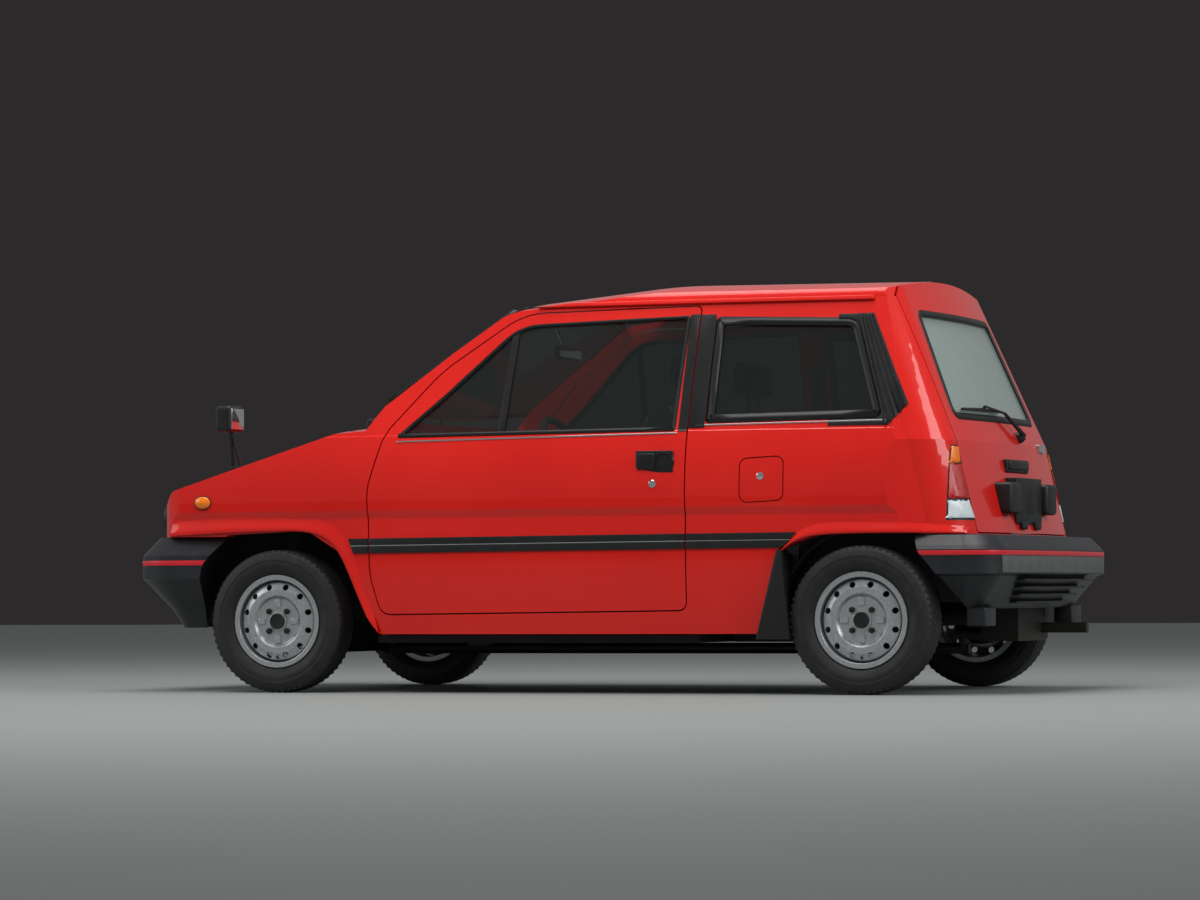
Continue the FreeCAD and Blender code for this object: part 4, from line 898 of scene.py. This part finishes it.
# door and quarter cards, door pulls
for side, sign in (("left", 1), ("right", -1)):
    inner = (0, -sign, 0)
    strip(side + "_door_card", side + "_door",
          [((0, 0, 0.880), (0, 0, 1)), ((0, 0, 0.350), (0, 0, -1)), ((-0.500, 0, 0), (-1, 0, 0)),
           ((0.610, 0, 0), (1, 0, 0))], inner, CABIN, side + "_door", 0.007, bevel=0.002, least=0.6)
    strip(side + "_quarter_card", side + "_side_panel",
          [((0, 0, 0.895), (0, 0, 1)), ((0, 0, 0.400), (0, 0, -1)), ((-0.620, 0, 0), (1, 0, 0)),
           ((-1.080, 0, 0), (-1, 0, 0))], inner, CABIN, "body", 0.006, bevel=0.002, least=0.6)
    spot = meet(side + "_door", (-0.10, sign * 0.30, 0.66), (0, sign, 0))[0]
    pull = rod(spot + Vector((-0.10, -sign * 0.030, 0)), spot + Vector((0.14, -sign * 0.030, 0.02)),
               0.012)
    rod(spot + Vector((-0.09, 0, 0)), spot + Vector((-0.09, -sign * 0.036, 0)), 0.012, 0.012, 16, pull)
    rod(spot + Vector((0.13, 0, 0.02)), spot + Vector((0.13, -sign * 0.036, 0.02)), 0.012, 0.012, 16,
        pull)
    keep(side + "_door_pull", pull, TRIM, side + "_door", tidy=False)
# rear-view mirror on a bright stem
stem = rod((0.245, 0, 1.335), (0.215, 0, 1.262), 0.006, 0.005)
keep("cabin_mirror_stem", stem, CHROME, "body")
keep("cabin_mirror_shell", brick((0.190, -0.115, 1.218), (0.214, 0.115, 1.272), 0.010), TRIM, "body")
keep("cabin_mirror_glass", brick((0.1885, -0.108, 1.224), (0.192, 0.108, 1.266), 0.001), CHROME, "body")
for side, sign in (("left", 1), ("right", -1)):
    y = sign * 0.610
    belt = brick((-0.590, y - 0.003, 0.62), (-0.545, y + 0.003, 1.17), 0.001)
    keep(side + "_belt_strap", belt, SEAL, "body")
    keep(side + "_belt_guide", brick((-0.600, y - 0.012, 1.165), (-0.535, y + 0.012, 1.200), 0.005),
         TRIM, "body")
# dashboard details: instrument hood, dials, vents; gear lever, hand brake and pedals
dash_low, dash_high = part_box("dashboard")
keep("instrument_hood", brick((dash_low.x - 0.01, -0.50, dash_high.z - 0.070),
     (dash_low.x + 0.13, -0.17, dash_high.z + 0.035), 0.020), CABIN, "body")
for y in (-0.405, -0.265):
    dial = lathe([(-0.004, 0.0), (-0.004, 0.048), (0.002, 0.050), (0.004, 0.046), (0.001, 0.044),
                  (0.001, 0.0)], (0, 0, 0), 40)
    bmesh.ops.rotate(dial, cent=(0, 0, 0), matrix=Matrix.Rotation(math.pi / 2, 3, "Z"),
                     verts=dial.verts)
    slide(dial, (dash_low.x - 0.011, y, dash_high.z - 0.020))
    keep("dial_%d" % round(-y * 1000), dial, TRIM, "body")
for i, y in enumerate((0.50, 0.06, -0.06, -0.555)):
    for k in range(4):
        z = dash_high.z - 0.085 + 0.013 * k
        spot = meet("dashboard", (-1.0, y, z), (1, 0, 0))[0]
        keep("vent_%d_%d" % (i, k), brick((spot.x - 0.004, y - 0.045, z - 0.003),
             (spot.x + 0.006, y + 0.045, z + 0.003), 0.001), SEAL, "body")
lever = rod((0.10, 0, 0.29), (0.07, 0, 0.52), 0.007)
keep("gear_lever", lever, STEEL, "body")
knob = bmesh.new()
bmesh.ops.create_uvsphere(knob, u_segments=24, v_segments=16, radius=0.024,
                          matrix=Matrix.Translation((0.068, 0, 0.535)))
keep("gear_knob", knob, SEAL, "body")
keep("hand_brake", rod((-0.33, 0, 0.33), (-0.12, 0, 0.41), 0.014, 0.011), TRIM, "body")
for name, y in (("clutch_pedal", -0.25), ("brake_pedal", -0.35), ("throttle_pedal", -0.45)):
    pedal = brick((0.500, y - 0.028, 0.30), (0.512, y + 0.028, 0.35), 0.004)
    rod((0.512, y, 0.34), (0.575, y, 0.58), 0.007, 0.007, 12, pedal)
    keep(name, pedal, STEEL, "body", tidy=False)


# ---------------------------------------------------------------------------------------------
# Fender mirror glasses, screen wipers, screen rubber, stone guards
# ---------------------------------------------------------------------------------------------
mirror_low, mirror_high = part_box("fender_mirrors")
for side, sign in (("left", 1), ("right", -1)):
    spot, _ = meet("fender_mirrors", (0.9, sign * 0.665, 0.995), (1, 0, 0))
    if spot:
        keep(side + "_mirror_glass", brick((spot.x - 0.002, sign * 0.665 - 0.050, 0.958),
             (spot.x + 0.003, sign * 0.665 + 0.050, 1.033), 0.002), CHROME, "body")
    base, _ = meet(side + "_fender", (1.235, sign * 0.632, 2.0), (0, 0, -1))
    if base:
        keep(side + "_mirror_foot", brick(base + Vector((-0.034, -0.020, -0.010)),
             base + Vector((0.040, 0.020, 0.007)), 0.004), TRIM, "body")
    guard = wedge((-0.930, 0.690, 0.192), (-0.800, 0.768, 0.503),
                  [line_cut(-0.878, 0.505, -0.803, 0.206), line_cut(-0.925, 0.188, -0.893, 0.505)],
                  0.002)
    keep(side + "_guard_panel", flip_side(guard, sign), TRIM, "body")
ring("screen_seal", "windscreen", 0.020, (0.7, 0, 0.7), SEAL, "body", 0.005, least=0.2)
for name, y0, y1 in (("left_screen_wiper", 0.42, 0.02), ("right_screen_wiper", -0.06, -0.46)):
    foot = meet("bulkhead", (0.745, y0, 2.0), (0, 0, -1))[0]
    if foot is None:
        continue
    tip = meet("windscreen", (0.690, y1, 2.0), (0, 0, -1))[0] or foot
    wiper = rod(foot - Vector((0, 0, 0.01)), foot + Vector((0, 0, 0.018)), 0.012, 0.010)
    rod(foot + Vector((0, 0, 0.014)), tip + Vector((0.010, 0, 0.020)), 0.005, 0.004, 12, wiper)
    keep(name, wiper, TRIM, "body", tidy=False)


# ---------------------------------------------------------------------------------------------
# Floor, light and camera
# ---------------------------------------------------------------------------------------------
def studio():
    """Dark studio: grey floor, dark backdrop that only the camera sees, soft lights."""
    bpy.ops.mesh.primitive_plane_add(size=60)
    floor = bpy.context.object
    floor.name = "studio_floor"
    floor.data.materials.append(surface("floor_paint", "7F8482", 0.7)[0])
    world = bpy.data.worlds.new("studio")
    bpy.context.scene.world = world
    world.use_nodes = True
    tree = world.node_tree
    light = tree.nodes["Background"]
    light.inputs["Color"].default_value = shade("E4E6E8")
    light.inputs["Strength"].default_value = 0.30
    dark = add(tree, "ShaderNodeBackground", {"Color": shade("2C2A2A"), "Strength": 1.0})
    ray = tree.nodes.new("ShaderNodeLightPath")
    mix = tree.nodes.new("ShaderNodeMixShader")
    tree.links.new(ray.outputs["Is Camera Ray"], mix.inputs[0])
    tree.links.new(light.outputs[0], mix.inputs[1])
    tree.links.new(dark.outputs[0], mix.inputs[2])
    tree.links.new(mix.outputs[0], tree.nodes["World Output"].inputs["Surface"])
    for name, spot, size, power in (
            ("key", (0.5, 6.0, 7.0), 4.5, 420), ("rear", (-7.5, 1.5, 4.5), 4.0, 280),
            ("top", (0, 0.5, 7.0), 5.0, 330), ("front", (7, 3, 3.5), 3.5, 90)):
        data = bpy.data.lights.new(name, "AREA")
        data.size = size
        data.energy = power
        lamp = bpy.data.objects.new(name, data)
        lamp.location = spot
        lamp.rotation_euler = (Vector((0, 0, 0.6)) - Vector(spot)).to_track_quat("-Z", "Y").to_euler()
        lamp.visible_glossy = name != "key"
        bpy.context.scene.collection.objects.link(lamp)


def set_camera():
    """Long lens from the left rear quarter, a little over knee height."""
    yaw, pitch, roll = math.radians(21.365), math.radians(1.76), math.radians(-0.265)
    view = Vector((math.sin(yaw) * math.cos(pitch), -math.cos(yaw) * math.cos(pitch),
                   math.sin(pitch)))
    right = Vector((-math.cos(yaw), -math.sin(yaw), 0))
    up = right.cross(view)
    right, up = (right * math.cos(roll) + up * math.sin(roll),
                 up * math.cos(roll) - right * math.sin(roll))
    data = bpy.data.cameras.new("camera")
    data.sensor_width = 36
    data.lens = 136.6
    data.clip_end = 100
    camera = bpy.data.objects.new("camera", data)
    turn = Matrix((right, up, -view)).transposed().to_4x4()
    camera.matrix_world = Matrix.Translation((-6.052, 15.663, 0.366)) @ turn
    bpy.context.scene.collection.objects.link(camera)
    bpy.context.scene.camera = camera


studio()
set_camera()
bpy.context.scene.view_settings.view_transform = "Standard"
